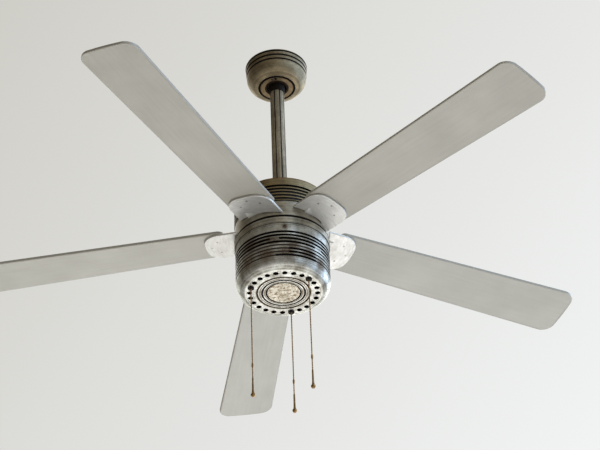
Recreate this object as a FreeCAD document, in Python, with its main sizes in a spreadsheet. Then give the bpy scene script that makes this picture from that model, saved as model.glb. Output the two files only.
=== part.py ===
# Ceiling fan on a downrod: five blades, drum-shaped housings, three pull chains.
# Origin: centre of the ceiling plate's upper face, +Z up, so every piece hangs below zero.
# A drop is a distance below the ceiling.
import FreeCAD
import Part
import Sketcher
import math
import os
from types import SimpleNamespace

LENGTHS = {
    # Ceiling plate, its arms and the ball seat
    "plate_radius": 56.0,
    "plate_thickness": 3.0,
    "box_screw_spacing": 88.9,
    "box_slot_length": 12.0,
    "box_slot_width": 5.2,
    "wire_hole_radius": 10.0,
    "arm_width": 18.0,
    "arm_thickness": 4.0,
    "arm_foot_height": 5.0,
    "arm_foot_toe": 2.5,
    "seat_wall": 4.7,
    "seat_top_below_centre": 6.0,
    "seat_height": 9.0,
    "seat_gate_clearance": 1.0,
    # Canopy and the trim ring in its mouth
    "canopy_gap": 1.0,
    "canopy_radius": 66.0,
    "canopy_taper": 2.6,
    "canopy_height": 53.5,
    "canopy_side_height": 28.0,
    "canopy_wall": 2.4,
    "canopy_mouth_radius": 38.0,
    "canopy_flange_depth": 2.0,
    "canopy_flange_thickness": 2.0,
    "canopy_flange_ledge": 7.0,
    "canopy_flange_reach": 13.5,
    "canopy_groove_first": 3.2,
    "canopy_groove_pitch": 10.2,
    "canopy_groove_width": 3.2,
    "canopy_groove_depth": 1.5,
    "trim_gap": 2.2,
    "trim_thickness": 2.4,
    "trim_opening_radius": 21.2,
    "trim_lip_width": 1.9,
    "trim_lip_drop": 1.2,
    "keyhole_radius": 4.2,
    # Hanger ball, downrod and the yoke that joins it to the motor shaft
    "ball_radius": 25.0,
    "ball_drop": 27.0,
    "ball_rim": 3.0,
    "ball_clearance": 0.3,
    "ball_core_radius": 1.4,
    "ball_sleeve_bottom": 70.0,
    "ball_sleeve_wall": 1.0,
    "rod_radius": 14.8,
    "rod_wall": 3.2,
    "rod_length": 356.0,
    "rod_above_ball": 15.0,
    "flute_radius": 1.2,
    "pin_radius": 3.0,
    "ball_pin_inset": 3.0,
    "rod_sink": 2.0,
    "yoke_wall": 6.2,
    "yoke_collar_height": 12.0,
    "yoke_flange_radius": 36.0,
    "yoke_flange_thickness": 6.0,
    "yoke_stub_radius": 12.6,
    "yoke_stub_length": 12.0,
    "set_screw_radius": 2.5,
    "slip_fit": 0.05,
    # Upper drum
    "upper_radius": 95.0,
    "upper_wall": 2.0,
    "upper_dome_height": 9.0,
    "upper_flat_radius": 40.0,
    "neck_clearance": 1.0,
    "neck_headroom": 2.0,
    "rod_hole_clearance": 1.0,
    "upper_groove_depth": 1.0,
    "upper_groove_first": 3.9,
    "upper_groove_pitch": 8.0,
    "groove_width": 4.0,
    # Motor shaft, bearings, stator and rotor
    "shaft_radius": 9.0,
    "shaft_wall": 3.5,
    "bearing_radius": 20.0,
    "bearing_width": 11.0,
    "bearing_inner_wall": 3.2,
    "bearing_outer_wall": 3.2,
    "bearing_ball_clearance": 0.15,
    "bearing_groove_depth": 1.2,
    "bearing_spacing": 35.0,
    "stator_radius": 69.0,
    "stator_height": 22.0,
    "air_gap": 0.5,
    "rotor_wall": 10.5,
    "rotor_rim_wall": 4.0,
    "bell_wall": 3.0,
    "bell_lip": 4.5,
    "winding_height": 7.5,
    "winding_width": 19.0,
    "winding_inset": 3.5,
    "coil_radius": 6.0,
    # Hub ring that carries the blade irons
    "hub_radius": 94.0,
    "hub_wall": 2.5,
    "hub_web": 3.5,
    "hub_bore_radius": 26.0,
    "hub_rise": 12.5,
    "hub_window_clearance": 0.4,
    "running_gap": 2.6,
    # Blade irons and blades
    "tongue_width": 50.0,
    "tongue_thickness": 5.5,
    "tongue_inner_radius": 44.0,
    "tongue_overlap": 16.0,
    "petal_width": 95.0,
    "petal_reach": 156.0,
    "petal_corner": 32.0,
    "petal_thickness": 5.0,
    "petal_clearance": 1.6,
    "petal_round": 1.4,
    "blade_root_gap": 18.0,
    "blade_reach": 660.0,
    "blade_root_width": 98.0,
    "blade_tip_width": 120.0,
    "blade_root_corner": 12.0,
    "blade_tip_corner": 26.0,
    "blade_thickness": 6.0,
    "blade_screw_span": 44.0,
    # Switch plate, lower drum and its centre cap
    "spacer_length": 29.0,
    "spacer_wall": 3.0,
    "switch_plate_thickness": 2.5,
    "band_height": 15.5,
    "band_wall": 1.4,
    "shaft_nut_across": 28.0,
    "shaft_nut_height": 9.0,
    "shaft_end": 6.0,
    "leg_width": 14.0,
    "leg_thickness": 3.0,
    "leg_length": 33.0,
    "leg_clearance": 0.6,
    "drum_radius": 94.0,
    "drum_fit": 0.2,
    "drum_wall": 2.4,
    "drum_tuck": 12.0,
    "drum_height": 114.5,
    "drum_floor": 4.0,
    "drum_groove_depth": 1.3,
    "drum_groove_last": 2.6,
    "drum_groove_pitch": 8.06,
    "drum_screw_below_band": 9.0,
    "vent_radius": 5.4,
    "ring_groove_width": 2.4,
    "ring_groove_depth": 1.2,
    "ring_step_width": 1.5,
    "ring_step_depth": 0.6,
    "cap_gap": 2.6,
    "cap_thickness": 2.5,
    "cap_spigot_height": 5.0,
    "cap_edge": 0.8,
    "cap_tab_width": 3.4,
    # Pull switches, their bushes, and the capacitor
    "switch_depth": 20.0,
    "switch_width": 24.0,
    "switch_height": 28.0,
    "switch_throat_depth": 14.0,
    "bush_clearance": 0.2,
    "bush_shoulder": 1.9,
    "bush_shoulder_height": 4.0,
    "bush_bore_clearance": 0.5,
    "bush_below_drum": 3.2,
    "switch_nut_wall": 1.1,
    "switch_nut_height": 2.2,
    "capacitor_length": 44.0,
    "capacitor_depth": 20.0,
    "capacitor_height": 31.0,
    "capacitor_round": 3.0,
    # Pulls: chain, connector, short link and fob
    "chain_radius": 1.6,
    "chain_above_bush": 12.0,
    "connector_radius": 2.3,
    "connector_length": 8.0,
    "connector_neck": 1.5,
    "pull_drop_right": 253.0,
    "pull_drop_middle": 236.0,
    "pull_drop_left": 252.0,
    "link_length": 26.0,
    "fob_length": 41.0,
    "fob_top_radius": 1.8,
    "fob_stem_radius": 2.1,
    "fob_flare_radius": 2.8,
    "fob_ball_radius": 4.7,
    "fob_neck_radius": 2.2,
    # Screws
    "canopy_screw_radius": 2.0,
    "housing_screw_radius": 2.0,
    "iron_screw_radius": 2.5,
    "blade_screw_radius": 2.2,
    "screw_head_overhang": 2.0,
    "screw_head_height": 2.0,
    "screw_clearance": 0.15,
    "cross_length": 4.6,
    "cross_width": 1.1,
    "cross_depth": 1.2,
    "iron_screw_pitch": 28.0,
    "iron_screw_inset": 12.0,
    "overrun": 5.0,
}

ANGLES = {
    "arm_angle": 75.0,
    "keyhole_step": 9.5,
    "blade_angle": 26.4,
    "blade_pitch": 9.0,
    "blade_droop": 1.0,
    "vent_angle": 3.0,
    "drum_screw_angle": 34.0,
    "capacitor_angle": 138.0,
    "flute_angle": 22.5,
    "web_angle": 11.0,
    "short_slot_angle": 36.0,
    "cap_tab_angle": 4.0,
}

COUNTS = {
    "blade_count": 5,
    "vent_count": 24,
    "flute_count": 8,
    "ball_core_count": 16,
    "bearing_ball_count": 8,
    "coil_count": 12,
    "upper_groove_count": 5,
    "drum_groove_count": 8,
    "short_slot_first_row": 5,
}

# Where the webs between the upper drum's slots stand, in degrees
UPPER_WEB_ANGLES = [0.0, 14.0, 166.0, 20.0, 172.0]

# Where the lower drum's long slots start and how far they run, row by row, and where its short slots start:
# the front and both sides are open, and the back is closed, because no light shows through the vents
DRUM_SLOTS = [
    [(183.5, 169.0)],
    [(187.5, 169.0)],
    [(155.0, 100.5), (266.5, 120.0)],
    [(155.0, 158.5), (324.5, 62.0)],
]
SHORT_SLOT_ANGLES = [278.0, 158.0]

# Where the blade screws stand between the blade's root and the iron's tip: the pair, then the single one
BLADE_SCREW_SHARES = [0.36, 0.7]

# How far out things stand on the lower drum's floor, and its corner, as parts of the drum's radius
DRUM_FLOOR_SHARES = {
    "corner": 0.234,
    "vents": 0.713,
    "capacitor": 0.585,
    "outer_ring": 0.5564,
    "outer_step": 0.501,
    "inner_ring": 0.451,
    "inner_step": 0.3957,
    "cap": 0.347,
    "spigot": 0.2085,
}

# Vent holes that carry the pull chains, counted from the first hole
PULL_HOLES = {"right": 21, "middle": 5, "left": 13}

doc = FreeCAD.newDocument("CeilingFan")
sheet = doc.addObject("Spreadsheet::Sheet", "Sizes")


class Size:
    """A number together with the expression that ties it to the sheet."""

    def __init__(self, value, text):
        self.value = value
        self.text = text

    def __add__(self, other):
        other = as_size(other)
        return Size(self.value + other.value, f"({self.text} + {other.text})")

    def __sub__(self, other):
        other = as_size(other)
        return Size(self.value - other.value, f"({self.text} - {other.text})")

    def __mul__(self, other):
        other = as_size(other)
        return Size(self.value * other.value, f"({self.text} * {other.text})")

    def __truediv__(self, other):
        other = as_size(other)
        return Size(self.value / other.value, f"({self.text} / {other.text})")

    def __neg__(self):
        return Size(-self.value, f"(0 - {self.text})")

    def root(self):
        return Size(math.sqrt(self.value), f"sqrt({self.text})")


def as_size(number):
    if isinstance(number, Size):
        return number
    return Size(number, repr(number))


def fill_sheet():
    """Put every driving size in the sheet and hand them back by name."""
    named = {}
    row = 1
    for table in (LENGTHS, ANGLES, COUNTS):
        for alias, value in table.items():
            sheet.set(f"A{row}", alias)
            sheet.set(f"B{row}", str(value))
            sheet.setAlias(f"B{row}", alias)
            named[alias] = Size(value, f"Sizes.{alias}")
            row += 1
    doc.recompute()
    return SimpleNamespace(**named)


dim = fill_sheet()
pieces = []


def bind(target, prop, size):
    target.setExpression(prop, as_size(size).text)


def turned_about_z(angle, x=0.0, y=0.0, z=0.0):
    """A place turned about the fan's axis, with x outwards."""
    turn = FreeCAD.Rotation(FreeCAD.Vector(0, 0, 1), angle)
    return FreeCAD.Placement(turn.multVec(FreeCAD.Vector(x, y, z)), turn)


def keep(piece, label):
    """Count an object as one of the fan's pieces."""
    piece.Label = label
    pieces.append(piece)
    return piece


def new_body(name):
    return doc.addObject("PartDesign::Body", name)


def new_sketch(body, name, role, offset=None):
    """A sketch on one of the body's own planes, moved by the given placement."""
    sketch = body.newObject("Sketcher::SketchObject", name)
    plane = [feature for feature in body.Origin.OriginFeatures if feature.Role == role][0]
    sketch.AttachmentSupport = [(plane, "")]
    sketch.MapMode = "FlatFace"
    if isinstance(offset, Size):
        bind(sketch, "AttachmentOffset.Base.z", offset)
    elif offset is not None:
        sketch.AttachmentOffset = offset
    return sketch


def arc_between(start, end, radius, turn):
    """Arc of under a half circle; turn is 1 for anticlockwise and -1 for clockwise."""
    chord = end - start
    half = chord.Length / 2
    rise = math.sqrt(max(radius * radius - half * half, 0.0))
    left = FreeCAD.Vector(-chord.y, chord.x, 0).normalize()
    centre = (start + end) * 0.5 + left * (rise * turn)
    first = start if turn > 0 else end
    last = end if turn > 0 else start
    first_angle = math.atan2(first.y - centre.y, first.x - centre.x)
    last_angle = math.atan2(last.y - centre.y, last.x - centre.x)
    circle = Part.Circle(centre, FreeCAD.Vector(0, 0, 1), radius)
    return Part.ArcOfCircle(circle, first_angle, last_angle)


def draw(sketch, points):
    """Closed outline whose corners and radii follow the sheet.

    Each point is (u, v), or (u, v, radius, turn) where an arc leads on to the next point.
    """
    corners = []
    for point in points:
        u = as_size(point[0])
        v = as_size(point[1])
        corners.append((u, v, FreeCAD.Vector(u.value, v.value, 0)))
    base = sketch.GeometryCount
    ends = []
    constraints = []
    formulas = []
    for index, point in enumerate(points):
        start = corners[index][2]
        end = corners[(index + 1) % len(points)][2]
        if len(point) == 4:
            sketch.addGeometry(arc_between(start, end, point[2].value, point[3]), False)
            ends.append((1, 2) if point[3] > 0 else (2, 1))
            formulas.append((len(constraints), point[2]))
            constraints.append(Sketcher.Constraint("Radius", base + index, point[2].value))
        else:
            sketch.addGeometry(Part.LineSegment(start, end), False)
            ends.append((1, 2))
    for index in range(len(points)):
        following = (index + 1) % len(points)
        constraints.append(Sketcher.Constraint("Coincident", base + index, ends[index][1],
                                               base + following, ends[following][0]))
        for kind, axis, size in (("DistanceX", -2, corners[index][0]), ("DistanceY", -1, corners[index][1])):
            if size.value == 0 and size.text in ("0", "0.0"):
                constraints.append(Sketcher.Constraint("PointOnObject", base + index, ends[index][0], axis))
            else:
                formulas.append((len(constraints), size))
                constraints.append(Sketcher.Constraint(kind, -1, 1, base + index, ends[index][0], size.value))
    first = sketch.ConstraintCount
    sketch.addConstraint(constraints)
    for number, size in formulas:
        sketch.setExpression(f"Constraints[{first + number}]", size.text)


def draw_circle(sketch, radius, u=0, v=0):
    """Circle whose centre and radius follow the sheet."""
    u = as_size(u)
    v = as_size(v)
    circle = Part.Circle(FreeCAD.Vector(u.value, v.value, 0), FreeCAD.Vector(0, 0, 1), radius.value)
    number = sketch.addGeometry(circle, False)
    bound = sketch.addConstraint(Sketcher.Constraint("Radius", number, radius.value))
    sketch.setExpression(f"Constraints[{bound}]", radius.text)
    for kind, axis, size in (("DistanceX", -2, u), ("DistanceY", -1, v)):
        if size.value == 0:
            sketch.addConstraint(Sketcher.Constraint("PointOnObject", number, 3, axis))
        else:
            bound = sketch.addConstraint(Sketcher.Constraint(kind, -1, 1, number, 3, size.value))
            sketch.setExpression(f"Constraints[{bound}]", size.text)


def revolve(name, points):
    """Turned piece: points are (radius, drop), from the upper inner edge round the outside."""
    body = new_body(name)
    sketch = new_sketch(body, name + "_profile", "XZ_Plane")
    draw(sketch, [(point[0], -as_size(point[1])) + tuple(point[2:]) for point in points])
    turned = body.newObject("PartDesign::Revolution", name + "_turned")
    turned.Profile = sketch
    turned.ReferenceAxis = (sketch, ["V_Axis"])
    turned.Angle = 360
    return body


def pad_on(body, name, points, thickness, offset, circles=()):
    """Plate of the given outline and round holes, standing up from its sketch."""
    sketch = new_sketch(body, name + "_outline", "XY_Plane", offset)
    if points:
        draw(sketch, points)
    for circle in circles:
        draw_circle(sketch, *circle)
    padded = body.newObject("PartDesign::Pad", name + "_pad")
    padded.Profile = sketch
    bind(padded, "Length", thickness)
    return padded


def cylinder(name, radius, height, placement, angle=None):
    tool = doc.addObject("Part::Cylinder", name)
    bind(tool, "Radius", radius)
    bind(tool, "Height", height)
    if angle is not None:
        bind(tool, "Angle", angle)
    tool.Placement = placement
    return tool


def box(name, length, width, height, placement):
    block = doc.addObject("Part::Box", name)
    bind(block, "Length", length)
    bind(block, "Width", width)
    bind(block, "Height", height)
    block.Placement = placement
    return block


def fuse(name, shapes):
    joined = doc.addObject("Part::MultiFuse", name)
    joined.Shapes = shapes
    return joined


def cut(name, base, tools):
    """Take the tools away from the base."""
    remaining = doc.addObject("Part::Cut", name)
    remaining.Base = base
    remaining.Tool = tools[0] if len(tools) == 1 else fuse(name + "_tools", tools)
    return remaining


def upright(name, radius, top, bottom, x, y, angle=0.0):
    """Round tool standing between two drops."""
    return cylinder(name, radius, bottom - top, turned_about_z(angle, x, y, -bottom.value))


def crosswise(name, radius, start, length, drop, angle):
    """Round tool lying level, pointing outwards at an angle."""
    level = FreeCAD.Rotation(FreeCAD.Vector(0, 1, 0), 90)
    place = turned_about_z(angle, start, 0, -drop.value)
    return cylinder(name, radius, length, place.multiply(FreeCAD.Placement(FreeCAD.Vector(), level)))


def group(label, template, placements):
    """Like pieces that share one file, as separate solids."""
    doc.recompute()
    copies = []
    for placement in placements:
        copy = template.Shape.Solids[0].copy()
        copy.Placement = placement.multiply(copy.Placement)
        copies.append(copy)
    feature = doc.addObject("Part::Feature", label)
    feature.Shape = Part.makeCompound(copies)
    return keep(feature, label)


def screw(name, radius, shank):
    """Round-head screw with a cross recess: the head's seat is at zero and the shank points down."""
    head = radius + dim.screw_head_overhang
    crown = (head * head + dim.screw_head_height * dim.screw_head_height) / (dim.screw_head_height * 2)
    blank = revolve(name + "_blank", [
        (0, -dim.screw_head_height, crown, -1),
        (head, 0),
        (radius, 0),
        (radius, shank),
        (0, shank),
    ])
    start = turned_about_z(0, -dim.cross_length.value / 2, -dim.cross_width.value / 2,
                           (dim.screw_head_height - dim.cross_depth).value)
    arms = [box(f"{name}_cross_{arm}", dim.cross_length, dim.cross_width, dim.cross_depth,
                turned_about_z(90 * arm).multiply(start)) for arm in range(2)]
    return cut(name, blank, arms)


def groove_rows(radius_at, depth, width, centres):
    """Rectangular grooves down a wall, listed from the top."""
    points = []
    for centre in centres:
        top = centre - width / 2
        bottom = centre + width / 2
        points += [
            (radius_at(top), top),
            (radius_at(top) - depth, top),
            (radius_at(bottom) - depth, bottom),
            (radius_at(bottom), bottom),
        ]
    return points


# Drops and radii that several pieces share
screw_clearance = dim.screw_clearance
blade_root = dim.hub_radius + dim.blade_root_gap
rod_top = dim.ball_drop - dim.rod_above_ball
rod_bottom = rod_top + dim.rod_length
rod_bore = dim.rod_radius + dim.slip_fit
seat_radius = dim.ball_radius + dim.ball_clearance
seat_outer = seat_radius + dim.seat_wall
seat_top = dim.ball_drop + dim.seat_top_below_centre
seat_bottom = seat_top + dim.seat_height
flange_bottom = dim.canopy_height - dim.canopy_flange_depth
flange_top = flange_bottom - dim.canopy_flange_thickness
arm_inner = seat_outer - dim.arm_thickness / 2
canopy_screw_circle = arm_inner + dim.arm_thickness / 2
yoke_top = rod_bottom - dim.rod_sink - dim.yoke_collar_height
yoke_radius = rod_bore + dim.yoke_wall
yoke_flange_top = yoke_top + dim.yoke_collar_height
yoke_flange_bottom = yoke_flange_top + dim.yoke_flange_thickness
yoke_bottom = yoke_flange_bottom + dim.yoke_stub_length
shaft_bore = dim.shaft_radius + dim.slip_fit
upper_bearing_top = yoke_bottom
upper_bearing_bottom = upper_bearing_top + dim.bearing_width
lower_bearing_top = upper_bearing_bottom + dim.bearing_spacing
lower_bearing_bottom = lower_bearing_top + dim.bearing_width
stator_top = upper_bearing_bottom + (dim.bearing_spacing - dim.stator_height) / 2
stator_bottom = stator_top + dim.stator_height
rotor_inner = dim.stator_radius + dim.air_gap
rotor_outer = rotor_inner + dim.rotor_wall
bell_top = upper_bearing_top - dim.bell_wall
bell_bottom = lower_bearing_bottom + dim.bell_wall
hub_web_bottom = bell_bottom + dim.hub_web
hub_top = bell_bottom - dim.hub_rise
upper_bottom = hub_top - dim.running_gap
tongue_bottom = hub_web_bottom + dim.tongue_thickness
iron_drop = hub_web_bottom + dim.tongue_thickness / 2
switch_plate_top = lower_bearing_bottom + dim.spacer_length
switch_plate_bottom = switch_plate_top + dim.switch_plate_thickness
hub_bottom = switch_plate_top - dim.running_gap
band_bottom = switch_plate_top + dim.band_height
band_inner = dim.drum_radius + dim.drum_fit
band_radius = band_inner + dim.band_wall
drum_top = band_bottom - dim.drum_tuck
drum_bottom = drum_top + dim.drum_height
drum_inner = dim.drum_radius - dim.drum_wall
drum_floor_top = drum_bottom - dim.drum_floor
drum_floor = {name: dim.drum_radius * share for name, share in DRUM_FLOOR_SHARES.items()}
vent_circle = drum_floor["vents"]
cap_radius = drum_floor["cap"]
cap_spigot = drum_floor["spigot"]
drum_screw_drop = band_bottom + dim.drum_screw_below_band
shaft_bottom = switch_plate_bottom + dim.shaft_nut_height + dim.shaft_end
bush_radius = dim.vent_radius - dim.bush_clearance
bush_bore = dim.chain_radius + dim.bush_bore_clearance
bush_bottom = drum_bottom + dim.bush_below_drum
switch_bottom = drum_floor_top - dim.bush_shoulder_height

BLADE_STEP = 360 / dim.blade_count.value
VENT_STEP = 360 / dim.vent_count.value
ARM_ANGLES = [dim.arm_angle.value, dim.arm_angle.value + 180]


# Ceiling plate with two arms, their feet and the open ball seat
def make_hanger_bracket():
    plate = new_body("ceiling_plate")
    half_slot = (dim.box_slot_length - dim.box_slot_width) / 2
    slot_radius = dim.box_slot_width / 2
    sketch = new_sketch(plate, "ceiling_plate_outline", "XY_Plane", -dim.plate_thickness)
    draw_circle(sketch, dim.plate_radius)
    draw_circle(sketch, dim.wire_hole_radius)
    for centre in (dim.box_screw_spacing / 2, -(dim.box_screw_spacing / 2)):
        draw(sketch, [
            (centre - half_slot, -slot_radius),
            (centre + half_slot, -slot_radius, slot_radius, 1),
            (centre + half_slot + slot_radius, 0, slot_radius, 1),
            (centre + half_slot, slot_radius),
            (centre - half_slot, slot_radius, slot_radius, 1),
            (centre - half_slot - slot_radius, 0, slot_radius, 1),
        ])
    pressed = plate.newObject("PartDesign::Pad", "ceiling_plate_pad")
    pressed.Profile = sketch
    bind(pressed, "Length", dim.plate_thickness)
    fall = seat_top - dim.ball_drop
    reach = seat_bottom - dim.ball_drop
    seat = revolve("ball_seat", [
        ((seat_radius * seat_radius - fall * fall).root(), seat_top),
        (seat_outer, seat_top),
        (seat_outer, seat_bottom),
        ((seat_radius * seat_radius - reach * reach).root(), seat_bottom, seat_radius, 1),
    ])
    solids = [plate, seat]
    for number, angle in enumerate(ARM_ANGLES):
        side = -dim.arm_width.value / 2
        solids.append(box(f"arm_{number}", dim.arm_thickness, dim.arm_width, flange_top,
                          turned_about_z(angle, arm_inner.value, side, -flange_top.value)))
        toe = dim.arm_foot_toe
        solids.append(box(f"arm_foot_{number}", dim.arm_thickness + toe * 2, dim.arm_width,
                          dim.arm_foot_height,
                          turned_about_z(angle, (arm_inner - toe).value, side, -flange_top.value)))
    tools = []
    for number, angle in enumerate(ARM_ANGLES):
        tools.append(upright(f"arm_screw_hole_{number}", dim.canopy_screw_radius + screw_clearance,
                             seat_bottom, flange_top, canopy_screw_circle.value, 0, angle))
    gate = rod_bore + dim.seat_gate_clearance
    tools.append(box("seat_gate", seat_outer + dim.overrun, gate * 2, flange_top - seat_top + dim.overrun * 2,
                     turned_about_z(dim.arm_angle.value - 90, 0, -gate.value,
                                    -(flange_top + dim.overrun).value)))
    keep(cut("hanger_bracket", fuse("hanger_bracket_solid", solids), tools), "hanger_bracket")


# Canopy: tapered side with three grooves, rounded bowl, inner flange for the trim ring
def make_canopy():
    side_radius = dim.canopy_radius - dim.canopy_taper

    def side_at(drop):
        return dim.canopy_radius - dim.canopy_taper * drop / dim.canopy_side_height

    def bowl_radius(width, height):
        return (width * width + height * height) / (width * 2)

    inner_side = side_radius - dim.canopy_wall
    ledge = dim.canopy_mouth_radius + dim.canopy_flange_ledge
    flange_radius = dim.canopy_mouth_radius - dim.canopy_flange_reach
    centres = [dim.canopy_gap + dim.canopy_groove_first + dim.canopy_groove_pitch * row for row in range(3)]
    bowl = bowl_radius(side_radius - dim.canopy_mouth_radius, dim.canopy_height - dim.canopy_side_height)
    inner_bowl = bowl_radius(inner_side - ledge, flange_top - dim.canopy_side_height)
    points = [
        (dim.canopy_radius - dim.canopy_wall, dim.canopy_gap),
        (side_at(dim.canopy_gap), dim.canopy_gap),
    ]
    points += groove_rows(side_at, dim.canopy_groove_depth, dim.canopy_groove_width, centres)
    points += [
        (side_radius, dim.canopy_side_height, bowl, -1),
        (dim.canopy_mouth_radius, dim.canopy_height),
        (dim.canopy_mouth_radius, flange_bottom),
        (flange_radius, flange_bottom),
        (flange_radius, flange_top),
        (ledge, flange_top, inner_bowl, 1),
        (inner_side, dim.canopy_side_height),
    ]
    shell = revolve("canopy_shell", points)
    holes = []
    for number, angle in enumerate(ARM_ANGLES):
        holes.append(upright(f"canopy_screw_hole_{number}", dim.canopy_screw_radius + screw_clearance,
                             flange_top - dim.overrun, flange_bottom + dim.overrun,
                             canopy_screw_circle.value, 0, angle))
    keep(cut("canopy", shell, holes), "canopy")


# Trim ring that closes the canopy's mouth, with a rolled lip and two keyholes
def make_trim_ring():
    outer = dim.canopy_mouth_radius - dim.trim_gap
    face = flange_bottom + dim.trim_thickness
    lip = dim.trim_opening_radius + dim.trim_lip_width
    ring = revolve("trim_ring_blank", [
        (dim.trim_opening_radius, flange_bottom),
        (outer, flange_bottom),
        (outer, face),
        (lip, face),
        (lip, face + dim.trim_lip_drop),
        (dim.trim_opening_radius, face + dim.trim_lip_drop),
    ])
    holes = []
    for number, angle in enumerate(ARM_ANGLES):
        for kind, radius, step in (("slot", dim.canopy_screw_radius + screw_clearance, 0.0),
                                   ("entry", dim.keyhole_radius, dim.keyhole_step.value)):
            holes.append(upright(f"keyhole_{kind}_{number}", radius, flange_bottom - dim.overrun,
                                 face + dim.overrun, canopy_screw_circle.value, 0, angle + step))
    keep(cut("canopy_trim_ring", ring, holes), "canopy_trim_ring")
    seat = face.value
    reach = face - flange_top + dim.arm_foot_height
    down = FreeCAD.Placement(FreeCAD.Vector(), FreeCAD.Rotation(FreeCAD.Vector(1, 0, 0), 180))
    places = [turned_about_z(angle, canopy_screw_circle.value, 0, -seat).multiply(down) for angle in ARM_ANGLES]
    group("canopy_screws", screw("canopy_screw", dim.canopy_screw_radius, reach), places)


# Hanger ball with its ribbed sleeve, the pin through it, the fluted downrod and the yoke
def make_ball_and_rod():
    end_radius = rod_bore + dim.ball_rim
    half_height = (dim.ball_radius * dim.ball_radius - end_radius * end_radius).root()
    ball = revolve("ball_blank", [
        (rod_bore, dim.ball_drop - half_height),
        (end_radius, dim.ball_drop - half_height, dim.ball_radius, -1),
        (end_radius, dim.ball_drop + half_height),
        (rod_bore + dim.ball_sleeve_wall, dim.ball_sleeve_bottom),
        (rod_bore, dim.ball_sleeve_bottom),
    ])
    pin_length = (dim.ball_radius - dim.ball_pin_inset) * 2
    start = -pin_length.value / 2
    pin_hole = dim.pin_radius + dim.slip_fit
    cores = []
    for number in range(dim.ball_core_count.value):
        angle = 360 / dim.ball_core_count.value * (number + 0.5)
        cores.append(upright(f"ball_core_{number}", dim.ball_core_radius, seat_top,
                             dim.ball_sleeve_bottom, end_radius.value, 0, angle))
    pin_tool = crosswise("ball_pin_hole", pin_hole, start, pin_length, dim.ball_drop, 0)
    keep(cut("hanger_ball", ball, [pin_tool] + cores), "hanger_ball")
    keep(crosswise("ball_pin", dim.pin_radius, start, pin_length, dim.ball_drop, 0), "ball_pin")

    tube = new_body("rod_tube")
    pad_on(tube, "rod_tube", None, dim.rod_length, -rod_bottom,
           [(dim.rod_radius,), (dim.rod_radius - dim.rod_wall,)])
    flute_sketch = new_sketch(tube, "flute_outline", "XY_Plane", -rod_top)
    draw_circle(flute_sketch, dim.flute_radius, dim.rod_radius)
    flute = tube.newObject("PartDesign::Pocket", "flute")
    flute.Profile = flute_sketch
    bind(flute, "Length", dim.rod_length)
    flutes = tube.newObject("PartDesign::PolarPattern", "flutes")
    flutes.Originals = [flute]
    flutes.Axis = (flute_sketch, ["N_Axis"])
    flutes.Angle = 360
    bind(flutes, "Occurrences", dim.flute_count)
    tube.Tip = flutes
    tube.Placement = turned_about_z(dim.flute_angle.value)
    rod_pin_drop = yoke_top + dim.yoke_collar_height / 2
    keep(cut("downrod", tube, [
        crosswise("rod_hole_top", pin_hole, start, pin_length, dim.ball_drop, 0),
        crosswise("rod_hole_bottom", pin_hole, -yoke_radius.value, yoke_radius * 2, rod_pin_drop, 0),
    ]), "downrod")
    keep(crosswise("rod_pin", dim.pin_radius, -yoke_radius.value, yoke_radius * 2, rod_pin_drop, 0), "rod_pin")

    yoke = revolve("yoke_blank", [
        (rod_bore, yoke_top),
        (yoke_radius, yoke_top),
        (yoke_radius, yoke_flange_top),
        (dim.yoke_flange_radius, yoke_flange_top),
        (dim.yoke_flange_radius, yoke_flange_bottom),
        (dim.yoke_stub_radius, yoke_flange_bottom),
        (dim.yoke_stub_radius, yoke_bottom),
        (shaft_bore, yoke_bottom),
        (shaft_bore, rod_bottom),
        (rod_bore, rod_bottom),
    ])
    holes = [crosswise("yoke_pin_hole", pin_hole, -(yoke_radius + dim.overrun).value,
                       (yoke_radius + dim.overrun) * 2, rod_pin_drop, 0)]
    screws = []
    for number, angle in enumerate((90, 270)):
        holes.append(crosswise(f"set_screw_hole_{number}", dim.set_screw_radius + screw_clearance,
                               dim.rod_radius.value, yoke_radius, rod_pin_drop, angle))
        screws.append(crosswise(f"set_screw_{number}", dim.set_screw_radius, rod_bore.value,
                                dim.yoke_wall, rod_pin_drop, angle))
    for number in range(3):
        holes.append(upright(f"yoke_screw_hole_{number}", dim.housing_screw_radius + screw_clearance,
                             yoke_flange_top - dim.overrun, yoke_flange_bottom + dim.overrun,
                             (yoke_radius + dim.yoke_flange_radius).value / 2, 0, 120 * number + 60))
    keep(cut("yoke", yoke, holes), "yoke")
    doc.recompute()
    pair = doc.addObject("Part::Feature", "yoke_screws")
    pair.Shape = Part.makeCompound([piece.Shape for piece in screws])
    keep(pair, "yoke_screws")


def slot_tools(name, radius, width, centre, web_angle):
    """Two long slots in one row, parted by two webs."""
    span = 180 - dim.web_angle.value
    start = web_angle + dim.web_angle.value / 2
    open_angle = Size(span, f"(180 - {dim.web_angle.text})")
    bottom = -(centre + width / 2).value
    return [cylinder(f"{name}_{half}", radius + dim.overrun, width,
                     turned_about_z(start + 180 * half, 0, 0, bottom), open_angle) for half in range(2)]


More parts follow.
